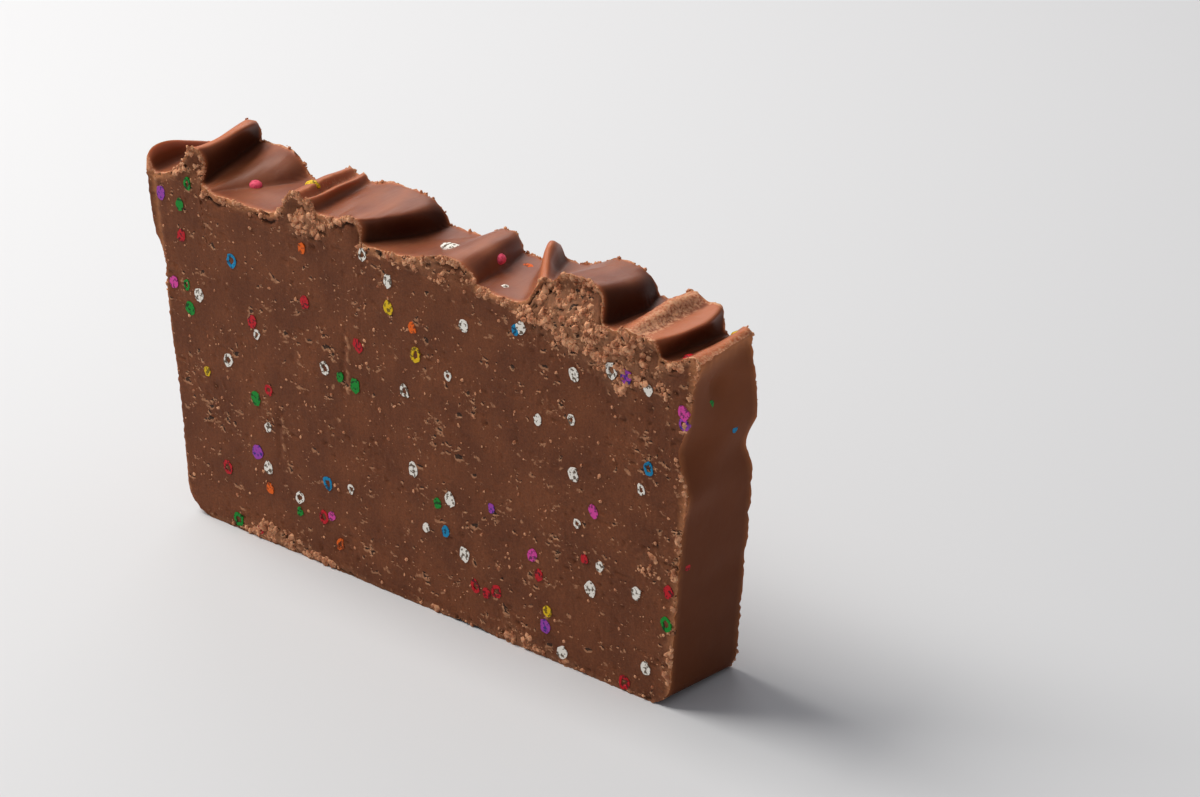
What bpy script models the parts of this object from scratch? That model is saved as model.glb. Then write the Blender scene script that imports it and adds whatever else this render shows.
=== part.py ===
"""A slice of chocolate fudge, cut across a loaf pan, with a swirled top and candy sprinkles in it."""

import math
import random
from typing import NamedTuple

import bmesh
import bpy
from mathutils import Matrix, Vector, noise

# The slice stands on its pan-moulded base: X runs along it, Y from the front cut to the back cut.
# All sizes are in metres. A pair holds the size at the front cut and the size at the back cut.
BASE_HALF_LEFT = 0.0595
BASE_HALF_RIGHT = 0.0603
LEFT_DRAFT = 0.085
RIGHT_DRAFT = 0.078
LEFT_CORNER_RADIUS = (0.0068, 0.0058)
RIGHT_CORNER_RADIUS = (0.0044, 0.0022)
BASE_THICKNESS = 0.0195
TOP_THINNING = 0.0028
THINNING_FROM = 0.050
THINNING_TO = 0.068
SETTLED_FROM = 0.004
CENTRE = Vector((0.0001, 0.0097, 0.0))

# The pan's wall left a ledge near the top of the left end and a shallow waist below it.
LEDGE_HEIGHT = 0.0552
LEDGE_SOFTNESS = 0.0012
LEDGE_DEPTH = 0.0014
WAIST_HEIGHT = 0.024
WAIST_REACH = 0.016
WAIST_DEPTH = 0.0009
DENT_SHARE_REACH = 0.4
RELIEF_FADE = 0.004

# The knife left the two cut faces slightly wavy, and crumbly near the fifth crest.
FACE_WAVE = 0.00035
FACE_WAVE_LENGTH = 0.022
CRUMB_DEPTH = 0.0013
CRUMB_SIZE = 0.0024
CRUMB_PLACE = 0.0365
CRUMB_LENGTH = 0.0085
CRUMB_HEIGHT = 0.0705
CRUMB_DROP = 0.0050

# Each crest line strays a little from straight, and leans over its hollow inside the slice.
RIDGE_WANDER = 0.0006
WANDER_STEP = 3.7
WANDER_RATE = 2.3
LEAN_EVENNESS = 0.7
FOOT_ROUNDNESS = 0.6
FOOT_HALF = 1.0 - 0.5 ** (1.0 / FOOT_ROUNDNESS)

COLUMNS = 116
CORNER_COLUMNS = 4
ROWS_ACROSS = 12
LEVELS = (0.0, 0.0022, 0.0045, 0.0078, 0.0260, 0.0430, 0.0535, 0.0580, 0.0635)
SAMPLES_PER_SLOPE = 40
BASE_FLATNESS = math.radians(0.5)
SHARP_ANGLE = math.radians(35)

SPRINKLE_RADIUS = 0.0014
SPRINKLE_SIDES = 6
SPRINKLE_PROUD = 0.00035
SPRINKLE_SUNK = 0.0010
SPRINKLE_TAPER = 0.86
SPRINKLE_SPACING = 0.0074
SPRINKLE_EDGE_GAP = 0.0042
SPRINKLE_CEILING = 0.0636
END_SPRINKLE_SHARES = (0.3, 0.7)
END_SPRINKLE_HEIGHTS = (0.011, 0.047)
SPRINKLES_ON_A_CUT = 46
SPRINKLES_ON_AN_END = 3
SPRINKLE_CROWN = 0.0009
SPRINKLE_RINGS = 4
SPRINKLE_TRIES = 4000
SEED = 23

FUDGE_COLOUR = (0.115, 0.047, 0.026, 1.0)
FUDGE_ROUGHNESS = 0.55


class Fold(NamedTuple):
    """One fold of the swirled top, from its crest down to the hollow on its right."""

    crest: tuple
    height: tuple
    basin: tuple
    floor: tuple
    rise: tuple
    rise_edge: tuple
    fall: tuple
    fall_edge: tuple
    bulge: float = 0.0
    hook: float = 0.0
    swell: float = 0.0
    swell_at: float = 0.5
    foot: float = 0.0


class Dent(NamedTuple):
    """A shallow dent, or a bulge where the depth is negative, in an end wall."""

    height: float
    share: float
    reach: float
    depth: float


class Chip(NamedTuple):
    """A piece broken from the top edge of the front cut."""

    place: float
    height: float
    length: float
    drop: float
    depth: float


# Rise and fall are the widths in which a slope loses half its height, and the edges say how abruptly.
# Inside the slice a bulge widens the fall, so that it ends in a crease, and a hook leans the crest over.
# Foot says how crisp the crease at the foot of the fall is, from 0 to 1.
FOLDS = (
    Fold(
        crest=(-0.0668, -0.0668), height=(0.0687, 0.0690), basin=(-0.0632, -0.0645), floor=(0.0683, 0.0689),
        rise=(0.001, 0.001), rise_edge=(2, 2), fall=(0.0011, 0.0010), fall_edge=(4, 4),
        swell=0.0038, swell_at=0.22,
    ),
    Fold(
        crest=(-0.0554, -0.0556), height=(0.0757, 0.0763), basin=(-0.0516, -0.0506), floor=(0.0687, 0.0730),
        rise=(0.0028, 0.0046), rise_edge=(1.5, 2.4), fall=(0.0025, 0.0028), fall_edge=(6, 5),
        hook=0.0030, swell=0.0014, swell_at=0.66, foot=0.8,
    ),
    Fold(
        crest=(-0.0508, -0.0478), height=(0.0683, 0.0734), basin=(-0.0500, -0.0362), floor=(0.0680, 0.0692),
        rise=(0.0004, 0.0012), rise_edge=(2, 3), fall=(0.0004, 0.0070), fall_edge=(3, 3.0),
        bulge=0.40, foot=0.6,
    ),
    Fold(
        crest=(-0.0274, -0.0294), height=(0.0742, 0.0735), basin=(-0.0257, -0.0276), floor=(0.0728, 0.0724),
        rise=(0.0036, 0.0031), rise_edge=(4, 2.2), fall=(0.0009, 0.0009), fall_edge=(3, 3),
        hook=0.0003, swell=0.0005,
    ),
    Fold(
        crest=(-0.0247, -0.0262), height=(0.0738, 0.0733), basin=(-0.0220, -0.0240), floor=(0.0714, 0.0720),
        rise=(0.0006, 0.0007), rise_edge=(3, 3), fall=(0.0010, 0.0011), fall_edge=(4, 3),
        hook=0.0012, swell=0.0003,
    ),
    Fold(
        crest=(-0.0142, -0.0158), height=(0.0729, 0.0734), basin=(-0.0112, 0.0030), floor=(0.0683, 0.0687),
        rise=(0.0022, 0.0070), rise_edge=(3, 4), fall=(0.0016, 0.0096), fall_edge=(7, 3.4),
        bulge=0.34, hook=0.0036, swell=0.0005, swell_at=0.6, foot=0.85,
    ),
    Fold(
        crest=(0.0098, 0.0088), height=(0.0717, 0.0718), basin=(0.0180, 0.0142), floor=(0.0678, 0.0684),
        rise=(0.0074, 0.0034), rise_edge=(2, 2.6), fall=(0.0050, 0.0036), fall_edge=(2.8, 5),
        bulge=0.12, hook=0.0014, swell=0.0008, swell_at=0.6, foot=0.7,
    ),
    Fold(
        crest=(0.0303, 0.0209), height=(0.0731, 0.0722), basin=(0.0316, 0.0238), floor=(0.0725, 0.0698),
        rise=(0.0017, 0.0015), rise_edge=(3.5, 5), fall=(0.0008, 0.0015), fall_edge=(3, 4),
        swell=0.0022, swell_at=0.7,
    ),
    Fold(
        crest=(0.0372, 0.0356), height=(0.0753, 0.0735), basin=(0.0462, 0.0473), floor=(0.0689, 0.0689),
        rise=(0.0044, 0.0050), rise_edge=(5, 2), fall=(0.0070, 0.0078), fall_edge=(9, 4.0),
        bulge=0.20, hook=0.0016, foot=0.8,
    ),
    Fold(
        crest=(0.0506, 0.0524), height=(0.0700, 0.0721), basin=(0.0536, 0.0556), floor=(0.0695, 0.0708),
        rise=(0.0020, 0.0030), rise_edge=(3, 3.5), fall=(0.0018, 0.0020), fall_edge=(3, 3),
        hook=0.0004, swell=0.0009, swell_at=0.6,
    ),
    Fold(
        crest=(0.0553, 0.0569), height=(0.0698, 0.0711), basin=(0.0591, 0.0604), floor=(0.0663, 0.0662),
        rise=(0.0007, 0.0006), rise_edge=(3, 3), fall=(0.0017, 0.0018), fall_edge=(6, 6),
        bulge=0.10, hook=0.0024, foot=0.8,
    ),
    Fold(
        crest=(0.0646, 0.0642), height=(0.0691, 0.0688), basin=(0.0665, 0.0660), floor=(0.0683, 0.0680),
        rise=(0.0030, 0.0030), rise_edge=(2.6, 2.4), fall=(0.0010, 0.0010), fall_edge=(2.4, 2.4),
        swell=-0.0004,
    ),
)

LEFT_DENTS = (
    Dent(height=0.0500, share=0.0, reach=0.0025, depth=0.0007),
    Dent(height=0.0350, share=0.6, reach=0.0100, depth=0.0006),
)
RIGHT_DENTS = (
    Dent(height=0.0415, share=0.0, reach=0.0030, depth=-0.0010),
    Dent(height=0.0505, share=0.0, reach=0.0045, depth=0.0018),
    Dent(height=0.0675, share=0.0, reach=0.0030, depth=-0.0014),
    Dent(height=0.0660, share=1.0, reach=0.0030, depth=0.0009),
    Dent(height=0.0465, share=1.0, reach=0.0040, depth=0.0010),
    Dent(height=0.0590, share=0.5, reach=0.0050, depth=0.0007),
    Dent(height=0.0230, share=0.7, reach=0.0030, depth=0.0004),
)
FRONT_CHIPS = (
    Chip(place=-0.0530, height=0.0725, length=0.0034, drop=0.0032, depth=0.0017),
    Chip(place=-0.0275, height=0.0710, length=0.0016, drop=0.0020, depth=0.0012),
    Chip(place=-0.0118, height=0.0700, length=0.0016, drop=0.0022, depth=0.0008),
    Chip(place=0.0140, height=0.0690, length=0.0050, drop=0.0016, depth=0.0008),
    Chip(place=0.0310, height=0.0715, length=0.0050, drop=0.0030, depth=0.0016),
    Chip(place=0.0380, height=0.0735, length=0.0075, drop=0.0036, depth=0.0030),
    Chip(place=0.0560, height=0.0665, length=0.0030, drop=0.0016, depth=0.0010),
)
BACK_CHIPS = (
    Chip(place=0.0640, height=0.0465, length=0.0040, drop=0.0032, depth=0.0020),
    Chip(place=0.0600, height=0.0010, length=0.0040, drop=0.0012, depth=0.0020),
    Chip(place=-0.0380, height=0.0700, length=0.0040, drop=0.0030, depth=0.0010),
    Chip(place=-0.0640, height=0.0300, length=0.0050, drop=0.0050, depth=0.0012),
)
# Sprinkles that lie in the hollows of the top, by their place and their share of the thickness.
TOP_SPRINKLES = ((-0.0455, 0.50), (-0.0335, 0.82), (0.0145, 0.52), (0.0165, 0.62), (0.0605, 0.85))

# A shallow notch in the lower edge of the front cut.
BASE_NOTCH_PLACE = 0.0137
BASE_NOTCH_LENGTH = 0.0032
BASE_NOTCH_RISE = 0.0013
BASE_NOTCH_SHARE = 0.10


def clear_scene():
    """Removes what the scene holds, so that only the slice is left."""
    for old in list(bpy.data.objects):
        bpy.data.objects.remove(old, do_unlink=True)


def at(pair, share):
    """The size at a share of the thickness, from the pair at the two cuts."""
    return pair[0] + (pair[1] - pair[0]) * share


def bell(distance, reach):
    """A smooth bump of height 1 that fades out over its reach."""
    return math.exp(-((distance / reach) ** 2))


def swell_of(fold, share):
    """The extra height of a fold inside the slice, which is largest at the fold's own share."""
    to_the_middle = math.log(0.5, fold.swell_at)
    return fold.swell * math.sin(math.pi * share**to_the_middle)


def left_wall(height):
    """Where the pan's left wall stood at a height."""
    return -(BASE_HALF_LEFT + LEFT_DRAFT * height)


def right_wall(height):
    """Where the pan's right wall stood at a height."""
    return BASE_HALF_RIGHT + RIGHT_DRAFT * height


def dented(listed, height, share):
    """The depth of the dents of one end, put together."""
    return sum(
        d.depth * bell(height - d.height, d.reach) * bell(share - d.share, DENT_SHARE_REACH) for d in listed
    )


def unsettled(height):
    """How freely the faces may stray: not at all at the base, where the slice settled square on the pan."""
    return min(height / SETTLED_FROM, 1.0)


def end_relief(place, height, share):
    """How far the ledge, waist and dents of an end shift a point near it along the slice."""
    ledge = LEDGE_DEPTH / (1.0 + math.exp((LEDGE_HEIGHT - height) / LEDGE_SOFTNESS))
    waist = WAIST_DEPTH * bell(height - WAIST_HEIGHT, WAIST_REACH)
    left = waist + dented(LEFT_DENTS, height, share) - ledge
    right = -dented(RIGHT_DENTS, height, share)
    near_left = bell(place - left_wall(height), RELIEF_FADE)
    near_right = bell(place - right_wall(height), RELIEF_FADE)
    return unsettled(height) * (left * near_left + right * near_right)


def slope(distance, span, half, edge, foot=0.0):
    """What is left of a crest's height, from 1 at the crest to 0 at the foot of the slope."""
    end = 1.0 / (1.0 + (span / half) ** edge)
    soft = (1.0 / (1.0 + (distance / half) ** edge) - end) / (1.0 - end)
    reach = min(half / FOOT_HALF ** (1.0 / edge), span)
    crisp = max(1.0 - (distance / reach) ** edge, 0.0) ** FOOT_ROUNDNESS
    return soft + (crisp - soft) * foot


def wander(number, share):
    """How far a crest line strays from straight inside the slice."""
    stray = noise.noise(Vector((number * WANDER_STEP, share * WANDER_RATE, 0.5)))
    return RIDGE_WANDER * math.sin(math.pi * share) * stray


def stations(share):
    """The crests and hollows met along the top at a share of the thickness, as (place, height)."""
    met = []
    for number, fold in enumerate(FOLDS):
        crest_height = at(fold.height, share) + swell_of(fold, share)
        met.append((at(fold.crest, share) + wander(number, share), crest_height))
        met.append((at(fold.basin, share) + wander(number + 0.5, share), at(fold.floor, share)))
    met[0] = (left_wall(met[0][1]), met[0][1])
    met[-1] = (right_wall(met[-1][1]), met[-1][1])
    return met


def top_point(met, position, share):
    """Place and height of the top at a position counted in slopes from the left end."""
    number = min(int(position), len(met) - 2)
    along = position - number
    (near_x, near_z), (far_x, far_z) = met[number], met[number + 1]
    place = near_x + (far_x - near_x) * along
    falling = number % 2 == 0
    fold = FOLDS[number // 2] if falling else FOLDS[number // 2 + 1]
    span = far_x - near_x
    if falling:
        half = at(fold.fall, share) * (1.0 + fold.bulge * math.sin(math.pi * share))
        left = slope(along * span, span, half, at(fold.fall_edge, share), fold.foot)
        height = far_z + (near_z - far_z) * left
    else:
        left = slope((1.0 - along) * span, span, at(fold.rise, share), at(fold.rise_edge, share))
        height = near_z + (far_z - near_z) * left
    lean = fold.hook * math.sin(math.pi * share) ** LEAN_EVENNESS * left**2
    return place + lean, height


def even_positions():
    """Positions that cut the top into columns of even width along its curve."""
    slopes = 2 * len(FOLDS) - 1
    fine = [slopes * i / (slopes * SAMPLES_PER_SLOPE) for i in range(slopes * SAMPLES_PER_SLOPE + 1)]
    lengths = [0.0] * len(fine)
    for share in (0.0, 0.5, 1.0):
        met = stations(share)
        points = [Vector(top_point(met, position, share)) for position in fine]
        run = 0.0
        for i in range(1, len(fine)):
            run += (points[i] - points[i - 1]).length
            lengths[i] += run
    chosen = []
    i = 0
    for column in range(COLUMNS + 1):
        wanted = lengths[-1] * column / COLUMNS
        while i < len(fine) - 2 and lengths[i + 1] < wanted:
            i += 1
        part = (wanted - lengths[i]) / (lengths[i + 1] - lengths[i])
        chosen.append(fine[i] + (fine[i + 1] - fine[i]) * part)
    return chosen


def round_base(place, height, share):
    """Draws a point in the square corner of an end's base onto the pan's rounded corner."""
    ends = ((left_wall, -1.0, LEFT_CORNER_RADIUS), (right_wall, 1.0, RIGHT_CORNER_RADIUS))
    for wall, outward, radii in ends:
        radius = at(radii, share)
        inset = outward * (wall(height) - place)
        beside = 1.0 - inset / radius
        below = 1.0 - height / radius
        if beside > 0.0 and below > 0.0:
            pull = max(beside, below) / math.hypot(beside, below)
            height = radius * (1.0 - below * pull)
            place = wall(height) - outward * radius * (1.0 - beside * pull)
    return place, height


def base_point(column, share):
    """Place and height of a point of the base: flat, and rounded up at its two ends."""
    left_radius = at(LEFT_CORNER_RADIUS, share)
    right_radius = at(RIGHT_CORNER_RADIUS, share)
    left = left_wall(0.0) + left_radius
    right = right_wall(0.0) - right_radius
    past_left = (CORNER_COLUMNS - column) / CORNER_COLUMNS
    past_right = (column - COLUMNS + CORNER_COLUMNS) / CORNER_COLUMNS
    if past_left > 0.0:
        angle = math.pi / 4 * past_left
        return left - left_radius * math.sin(angle), left_radius * (1.0 - math.cos(angle))
    if past_right > 0.0:
        angle = math.pi / 4 * past_right
        return right + right_radius * math.sin(angle), right_radius * (1.0 - math.cos(angle))
    along = (column - CORNER_COLUMNS) / (COLUMNS - 2 * CORNER_COLUMNS)
    return left + (right - left) * along, 0.0


def crumbs(place, height):
    """How deep the crumbly break under the fifth crest is at a point of the front cut."""
    around = bell(place - CRUMB_PLACE, CRUMB_LENGTH) * bell(height - CRUMB_HEIGHT, CRUMB_DROP)
    rough = noise.noise(Vector((place, height, 0.0)) / CRUMB_SIZE)
    return CRUMB_DEPTH * around * rough


def chipped(listed, place, height):
    """The depth of the chips of one cut, put together."""
    return sum(c.depth * bell(place - c.place, c.length) * bell(height - c.height, c.drop) for c in listed)


def front_cut(place, height):
    """Where the front cut stands, with its waves, chips and crumbly break."""
    wave = FACE_WAVE * noise.noise(Vector((place, 0.0, height)) / FACE_WAVE_LENGTH)
    return unsettled(height) * (wave + chipped(FRONT_CHIPS, place, height) + crumbs(place, height))


def back_cut(place, height):
    """Where the back cut stands: the slice is thinner near its top."""
    wave = FACE_WAVE * noise.noise(Vector((place, 1.0, height)) / FACE_WAVE_LENGTH)
    risen = min(max((height - THINNING_FROM) / (THINNING_TO - THINNING_FROM), 0.0), 1.0)
    thinned = TOP_THINNING * risen * risen * (3.0 - 2.0 * risen)
    return BASE_THICKNESS - thinned + unsettled(height) * (wave - chipped(BACK_CHIPS, place, height))


def slice_point(top, column, share, level):
    """The point of the slice for a column, a share of the thickness and a level of its height."""
    top_place, top_height = top
    place, height = top
    if level == 0:
        place, height = base_point(column, share)
    elif level < len(LEVELS):
        height = LEVELS[level]
        across_top = (top_place - left_wall(top_height)) / (right_wall(top_height) - left_wall(top_height))
        spread = (height / LEVELS[-1]) ** 2
        across = column / COLUMNS * (1.0 - spread) + across_top * spread
        place = left_wall(height) + across * (right_wall(height) - left_wall(height))
        place, height = round_base(place, height, share)
    if level == 0 and share < BASE_NOTCH_SHARE:
        height += BASE_NOTCH_RISE * bell(place - BASE_NOTCH_PLACE, BASE_NOTCH_LENGTH)
    place += end_relief(place, height, share)
    front = front_cut(place, height)
    return Vector((place, front + share * (back_cut(place, height) - front), height)) - CENTRE


def as_mesh(shape, name):
    """Turns a shape into an object's mesh, and frees the shape."""
    mesh = bpy.data.meshes.new(name)
    shape.to_mesh(mesh)
    shape.free()
    return bpy.data.objects.new(name, mesh)


def make_slice():
    """The slice: a block cut into a lattice, whose points are then moved to the slice's surface."""
    shape = bmesh.new()
    bmesh.ops.create_cube(shape, size=1.0)
    for axis, parts in enumerate((COLUMNS, ROWS_ACROSS, len(LEVELS))):
        along = [e for e in shape.edges if abs(e.verts[0].co[axis] - e.verts[1].co[axis]) > 0.5]
        bmesh.ops.subdivide_edges(shape, edges=along, cuts=parts - 1)
    positions = even_positions()
    shares = [row / ROWS_ACROSS for row in range(ROWS_ACROSS + 1)]
    tops = []
    for share in shares:
        met = stations(share)
        tops.append([top_point(met, position, share) for position in positions])
    for vertex in shape.verts:
        column = round((vertex.co.x + 0.5) * COLUMNS)
        row = round((vertex.co.y + 0.5) * ROWS_ACROSS)
        level = round((vertex.co.z + 0.5) * len(LEVELS))
        vertex.co = slice_point(tops[row][column], column, shares[row], level)
    under = {f for f in shape.faces if f.normal.z < -math.cos(BASE_FLATNESS)}
    inner_edges = [e for e in shape.edges if all(f in under for f in e.link_faces)]
    bmesh.ops.dissolve_limit(shape, angle_limit=BASE_FLATNESS, verts=[], edges=inner_edges)
    bmesh.ops.triangulate(shape, faces=shape.faces[:])
    fudge = as_mesh(shape, "fudge")
    bpy.context.scene.collection.objects.link(fudge)
    return fudge


def clear_of(chosen, spot, spacing):
    """Whether a spot is far enough from those already chosen."""
    return all(math.dist(spot, other) > spacing for other in chosen)


def spots_on_cut(draw, wanted):
    """Places and heights of the sprinkles on a cut face, spread evenly by a seeded draw."""
    chosen = []
    for _ in range(SPRINKLE_TRIES):
        height = draw.uniform(SPRINKLE_EDGE_GAP, SPRINKLE_CEILING)
        low = left_wall(height) + SPRINKLE_EDGE_GAP
        high = right_wall(height) - SPRINKLE_EDGE_GAP
        spot = (draw.uniform(low, high), height)
        if clear_of(chosen, spot, SPRINKLE_SPACING):
            chosen.append(spot)
        if len(chosen) == wanted:
            break
    return chosen


def spots_on_end(draw, wanted):
    """Shares of the thickness and heights of the sprinkles that show in a pan-moulded end."""
    chosen = []
    for _ in range(SPRINKLE_TRIES):
        spot = (draw.uniform(*END_SPRINKLE_SHARES), draw.uniform(*END_SPRINKLE_HEIGHTS))
        if all(abs(spot[1] - other[1]) > SPRINKLE_SPACING for other in chosen):
            chosen.append(spot)
        if len(chosen) == wanted:
            break
    return chosen


def add_sprinkle(group, point, outward):
    """One cut sprinkle: a short drum, sunk in the fudge and slightly proud of its surface."""
    drum = bmesh.new()
    turn = Vector((0.0, 0.0, 1.0)).rotation_difference(outward).to_matrix().to_4x4()
    middle = point + outward * (SPRINKLE_PROUD - SPRINKLE_SUNK) / 2
    bmesh.ops.create_cone(
        drum, cap_ends=True, segments=SPRINKLE_SIDES, radius1=SPRINKLE_RADIUS,
        radius2=SPRINKLE_RADIUS * SPRINKLE_TAPER, depth=SPRINKLE_PROUD + SPRINKLE_SUNK,
        matrix=Matrix.Translation(middle) @ turn,
    )
    group.objects.link(as_mesh(drum, "sprinkle"))


def top_height(place, share):
    """The height of the top at a place along a line of the same share of the thickness."""
    met = stations(share)
    points = [top_point(met, position, share) for position in even_positions()]
    return min(points, key=lambda point: abs(point[0] - place))[1]


def add_top_sprinkle(group, place, share):
    """One whole sprinkle, half sunk in the skin of the top."""
    height = top_height(place, share)
    front = front_cut(place, height)
    across = front + share * (back_cut(place, height) - front)
    middle = Vector((place, across, height + SPRINKLE_CROWN - SPRINKLE_RADIUS)) - CENTRE
    ball = bmesh.new()
    bmesh.ops.create_uvsphere(
        ball, u_segments=SPRINKLE_SIDES, v_segments=SPRINKLE_RINGS, radius=SPRINKLE_RADIUS,
        matrix=Matrix.Translation(middle),
    )
    group.objects.link(as_mesh(ball, "sprinkle"))


def add_sprinkles(group):
    """The sprinkles that show in the two cuts, in the two ends and on the top."""
    draw = random.Random(SEED)
    for place, height in spots_on_cut(draw, SPRINKLES_ON_A_CUT):
        add_sprinkle(group, Vector((place, front_cut(place, height), height)) - CENTRE, Vector((0, -1, 0)))
    for place, height in spots_on_cut(draw, SPRINKLES_ON_A_CUT):
        add_sprinkle(group, Vector((place, back_cut(place, height), height)) - CENTRE, Vector((0, 1, 0)))
    for wall, outward in ((left_wall, -1.0), (right_wall, 1.0)):
        for share, height in spots_on_end(draw, SPRINKLES_ON_AN_END):
            place = wall(height) + end_relief(wall(height), height, share)
            point = Vector((place, share * back_cut(place, height), height))
            add_sprinkle(group, point - CENTRE, Vector((outward, 0, 0)))
    for place, share in TOP_SPRINKLES:
        add_top_sprinkle(group, place, share)


def fuse(body, group):
    """Joins a group's objects to the body in one union, and removes them."""
    union = body.modifiers.new("join_sprinkles", "BOOLEAN")
    union.operation = "UNION"
    union.solver = "EXACT"
    union.operand_type = "COLLECTION"
    union.collection = group
    bpy.context.view_layer.update()
    joined = bpy.data.meshes.new_from_object(body.evaluated_get(bpy.context.evaluated_depsgraph_get()))
    body.modifiers.remove(union)
    body.data = joined
    joined.name = body.name
    for piece in list(group.objects):
        bpy.data.objects.remove(piece, do_unlink=True)
    bpy.data.collections.remove(group)


def fudge_material():
    """Dense chocolate fudge: brown, with the dull shine of set sugar and butter."""
    material = bpy.data.materials.new("chocolate_fudge")
    material.use_nodes = True
    shader = material.node_tree.nodes["Principled BSDF"]
    shader.inputs["Base Color"].default_value = FUDGE_COLOUR
    shader.inputs["Roughness"].default_value = FUDGE_ROUGHNESS
    shader.inputs["Metallic"].default_value = 0.0
    return material


def main():
    """Builds the slice with its sprinkles as one solid."""
    clear_scene()
    fudge = make_slice()
    group = bpy.data.collections.new("sprinkles")
    bpy.context.scene.collection.children.link(group)
    add_sprinkles(group)
    fuse(fudge, group)
    fudge.data.materials.clear()
    fudge.data.materials.append(fudge_material())
    fudge.data.shade_smooth()
    fudge.data.set_sharp_from_angle(angle=SHARP_ANGLE)


main()
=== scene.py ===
"""A slice of chocolate fudge cut across a loaf pan: its cut faces, set skin, candy sprinkles and crumbs."""

import itertools
import logging
import math
import random
from dataclasses import dataclass, field
from enum import Enum
from typing import Iterable, NamedTuple

import bmesh
import bpy
from mathutils import Matrix, Vector, noise

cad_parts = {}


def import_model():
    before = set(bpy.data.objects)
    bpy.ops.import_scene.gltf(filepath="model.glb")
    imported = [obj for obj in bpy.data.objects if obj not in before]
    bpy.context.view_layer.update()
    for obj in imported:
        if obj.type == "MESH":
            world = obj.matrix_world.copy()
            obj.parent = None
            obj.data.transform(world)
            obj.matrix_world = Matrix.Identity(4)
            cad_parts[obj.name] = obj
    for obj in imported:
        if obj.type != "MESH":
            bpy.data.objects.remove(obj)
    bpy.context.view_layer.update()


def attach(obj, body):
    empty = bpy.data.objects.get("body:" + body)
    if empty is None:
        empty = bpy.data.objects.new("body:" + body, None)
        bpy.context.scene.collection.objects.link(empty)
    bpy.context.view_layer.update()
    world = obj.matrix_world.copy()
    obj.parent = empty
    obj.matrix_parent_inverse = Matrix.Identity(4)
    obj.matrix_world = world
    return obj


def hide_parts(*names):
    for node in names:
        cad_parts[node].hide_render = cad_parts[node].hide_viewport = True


log = logging.getLogger("fudge")

MM = 0.001
NODE = "fudge"
BODY = "root"
# What each point of the slice tells its finish: how crumbly it is; how far it stands out of the cut; how much of
# the skin's crust it is, partly painted rim light beside the ends; how thin its lip is, which sets the painted
# glow of light through the lip and the painted rim light at an end's rims; and how much painted shade it takes at
# the foot of a fold.
ATTRIBUTES = ("crumble", "relief", "crust", "lip_light", "painted_shade")
# The design frame has y = 0 at the front cut; the row frame has it in the middle of the thickness.
CENTRE = Vector((0.0001, 0.0097, 0.0))
# Blender seeds its vector noise from the clock unless it is told otherwise, so the lumps of the cuts would differ
# a little from run to run.
NOISE_SEED = 5
# A size at the front cut and at the back cut.
Pair = tuple[float, float]
# The values between which a pattern rises, and those that it is given there where they aren't 0 and 1.
Spread = tuple[float, ...]


def linear(colour: str) -> tuple[float, float, float, float]:
    """Turns an sRGB hex colour into the linear colour that a shader socket takes.

    Args:
        colour: six hex digits, red first.

    Returns:
        Linear red, green, blue and an alpha of 1.
    """
    shares = [int(colour[i : i + 2], 16) / 255.0 for i in (0, 2, 4)]
    red, green, blue = (s / 12.92 if s <= 0.04045 else ((s + 0.055) / 1.055) ** 2.4 for s in shares)
    return (red, green, blue, 1.0)


def fill(tree: bpy.types.NodeTree, node: bpy.types.Node, inputs: dict | tuple) -> None:
    """Sets and links the input sockets of a node.

    Args:
        tree: the node tree.
        node: the node.
        inputs: for each socket, by name or number, or else for the first ones in order, a value or the output
            socket linked to it.
    """
    for socket, value in (inputs if isinstance(inputs, dict) else dict(enumerate(inputs))).items():
        if isinstance(value, bpy.types.NodeSocket):
            tree.links.new(value, node.inputs[socket])
        else:
            node.inputs[socket].default_value = value


def add_node(
    tree: bpy.types.NodeTree, kind: str, output: str | int, inputs: dict | tuple = (), **settings: object
) -> bpy.types.NodeSocket:
    """Adds a shader node with its settings, its values and its links.

    Args:
        tree: the node tree that takes the node.
        kind: the node's type name, without ShaderNode in front.
        output: the output socket that is wanted, by name or number.
        inputs: its input sockets, as for fill.
        settings: the node's own attributes.

    Returns:
        The output socket.
    """
    node = tree.nodes.new("ShaderNode" + kind)
    for name, value in settings.items():
        setattr(node, name, value)
    fill(tree, node, inputs)
    return node.outputs[output]


def layered(
    tree: bpy.types.NodeTree, ground: str, layers: Iterable[tuple[bpy.types.NodeSocket, float, str]]
) -> bpy.types.NodeSocket:
    """Lays colours over a ground, each through its own mask.

    Args:
        tree: the node tree.
        ground: the lowest colour.
        layers: the mask of each layer, how much it covers at most, and its colour, the lowest first.

    Returns:
        The socket of the colour that shows.
    """
    colour: object = linear(ground)
    for mask, cover, tint in layers:
        share = add_node(tree, "Math", "Value", (mask, cover), operation="MULTIPLY")
        # Sockets 0, 6 and 7 of the mix are the factor and the two colours; output 2 is the mixed colour.
        colour = add_node(tree, "Mix", 2, {0: share, 6: colour, 7: linear(tint)}, data_type="RGBA")
    return colour


def bell(distance: float, reach: float) -> float:
    """A smooth bump of height 1 that fades out over its reach."""
    return math.exp(-((distance / reach) ** 2))


def ramp(value: float, low: float, high: float) -> float:
    """A smooth step from 0 at the low value to 1 at the high one."""
    part = min(max((value - low) / (high - low), 0.0), 1.0)
    return part * part * (3.0 - 2.0 * part)


def at(pair: Pair, share: float) -> float:
    """The size at a share of the thickness, from the pair at the two cuts."""
    return pair[0] + (pair[1] - pair[0]) * share


class Side(Enum):
    """The sides of the slice, each with the way it faces."""

    FRONT_CUT = (0.0, -1.0, 0.0)
    BACK_CUT = (0.0, 1.0, 0.0)
    LEFT_END = (-1.0, 0.0, 0.0)
    RIGHT_END = (1.0, 0.0, 0.0)
    TOP = (0.0, 0.0, 1.0)
    BASE = (0.0, 0.0, -1.0)


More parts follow.
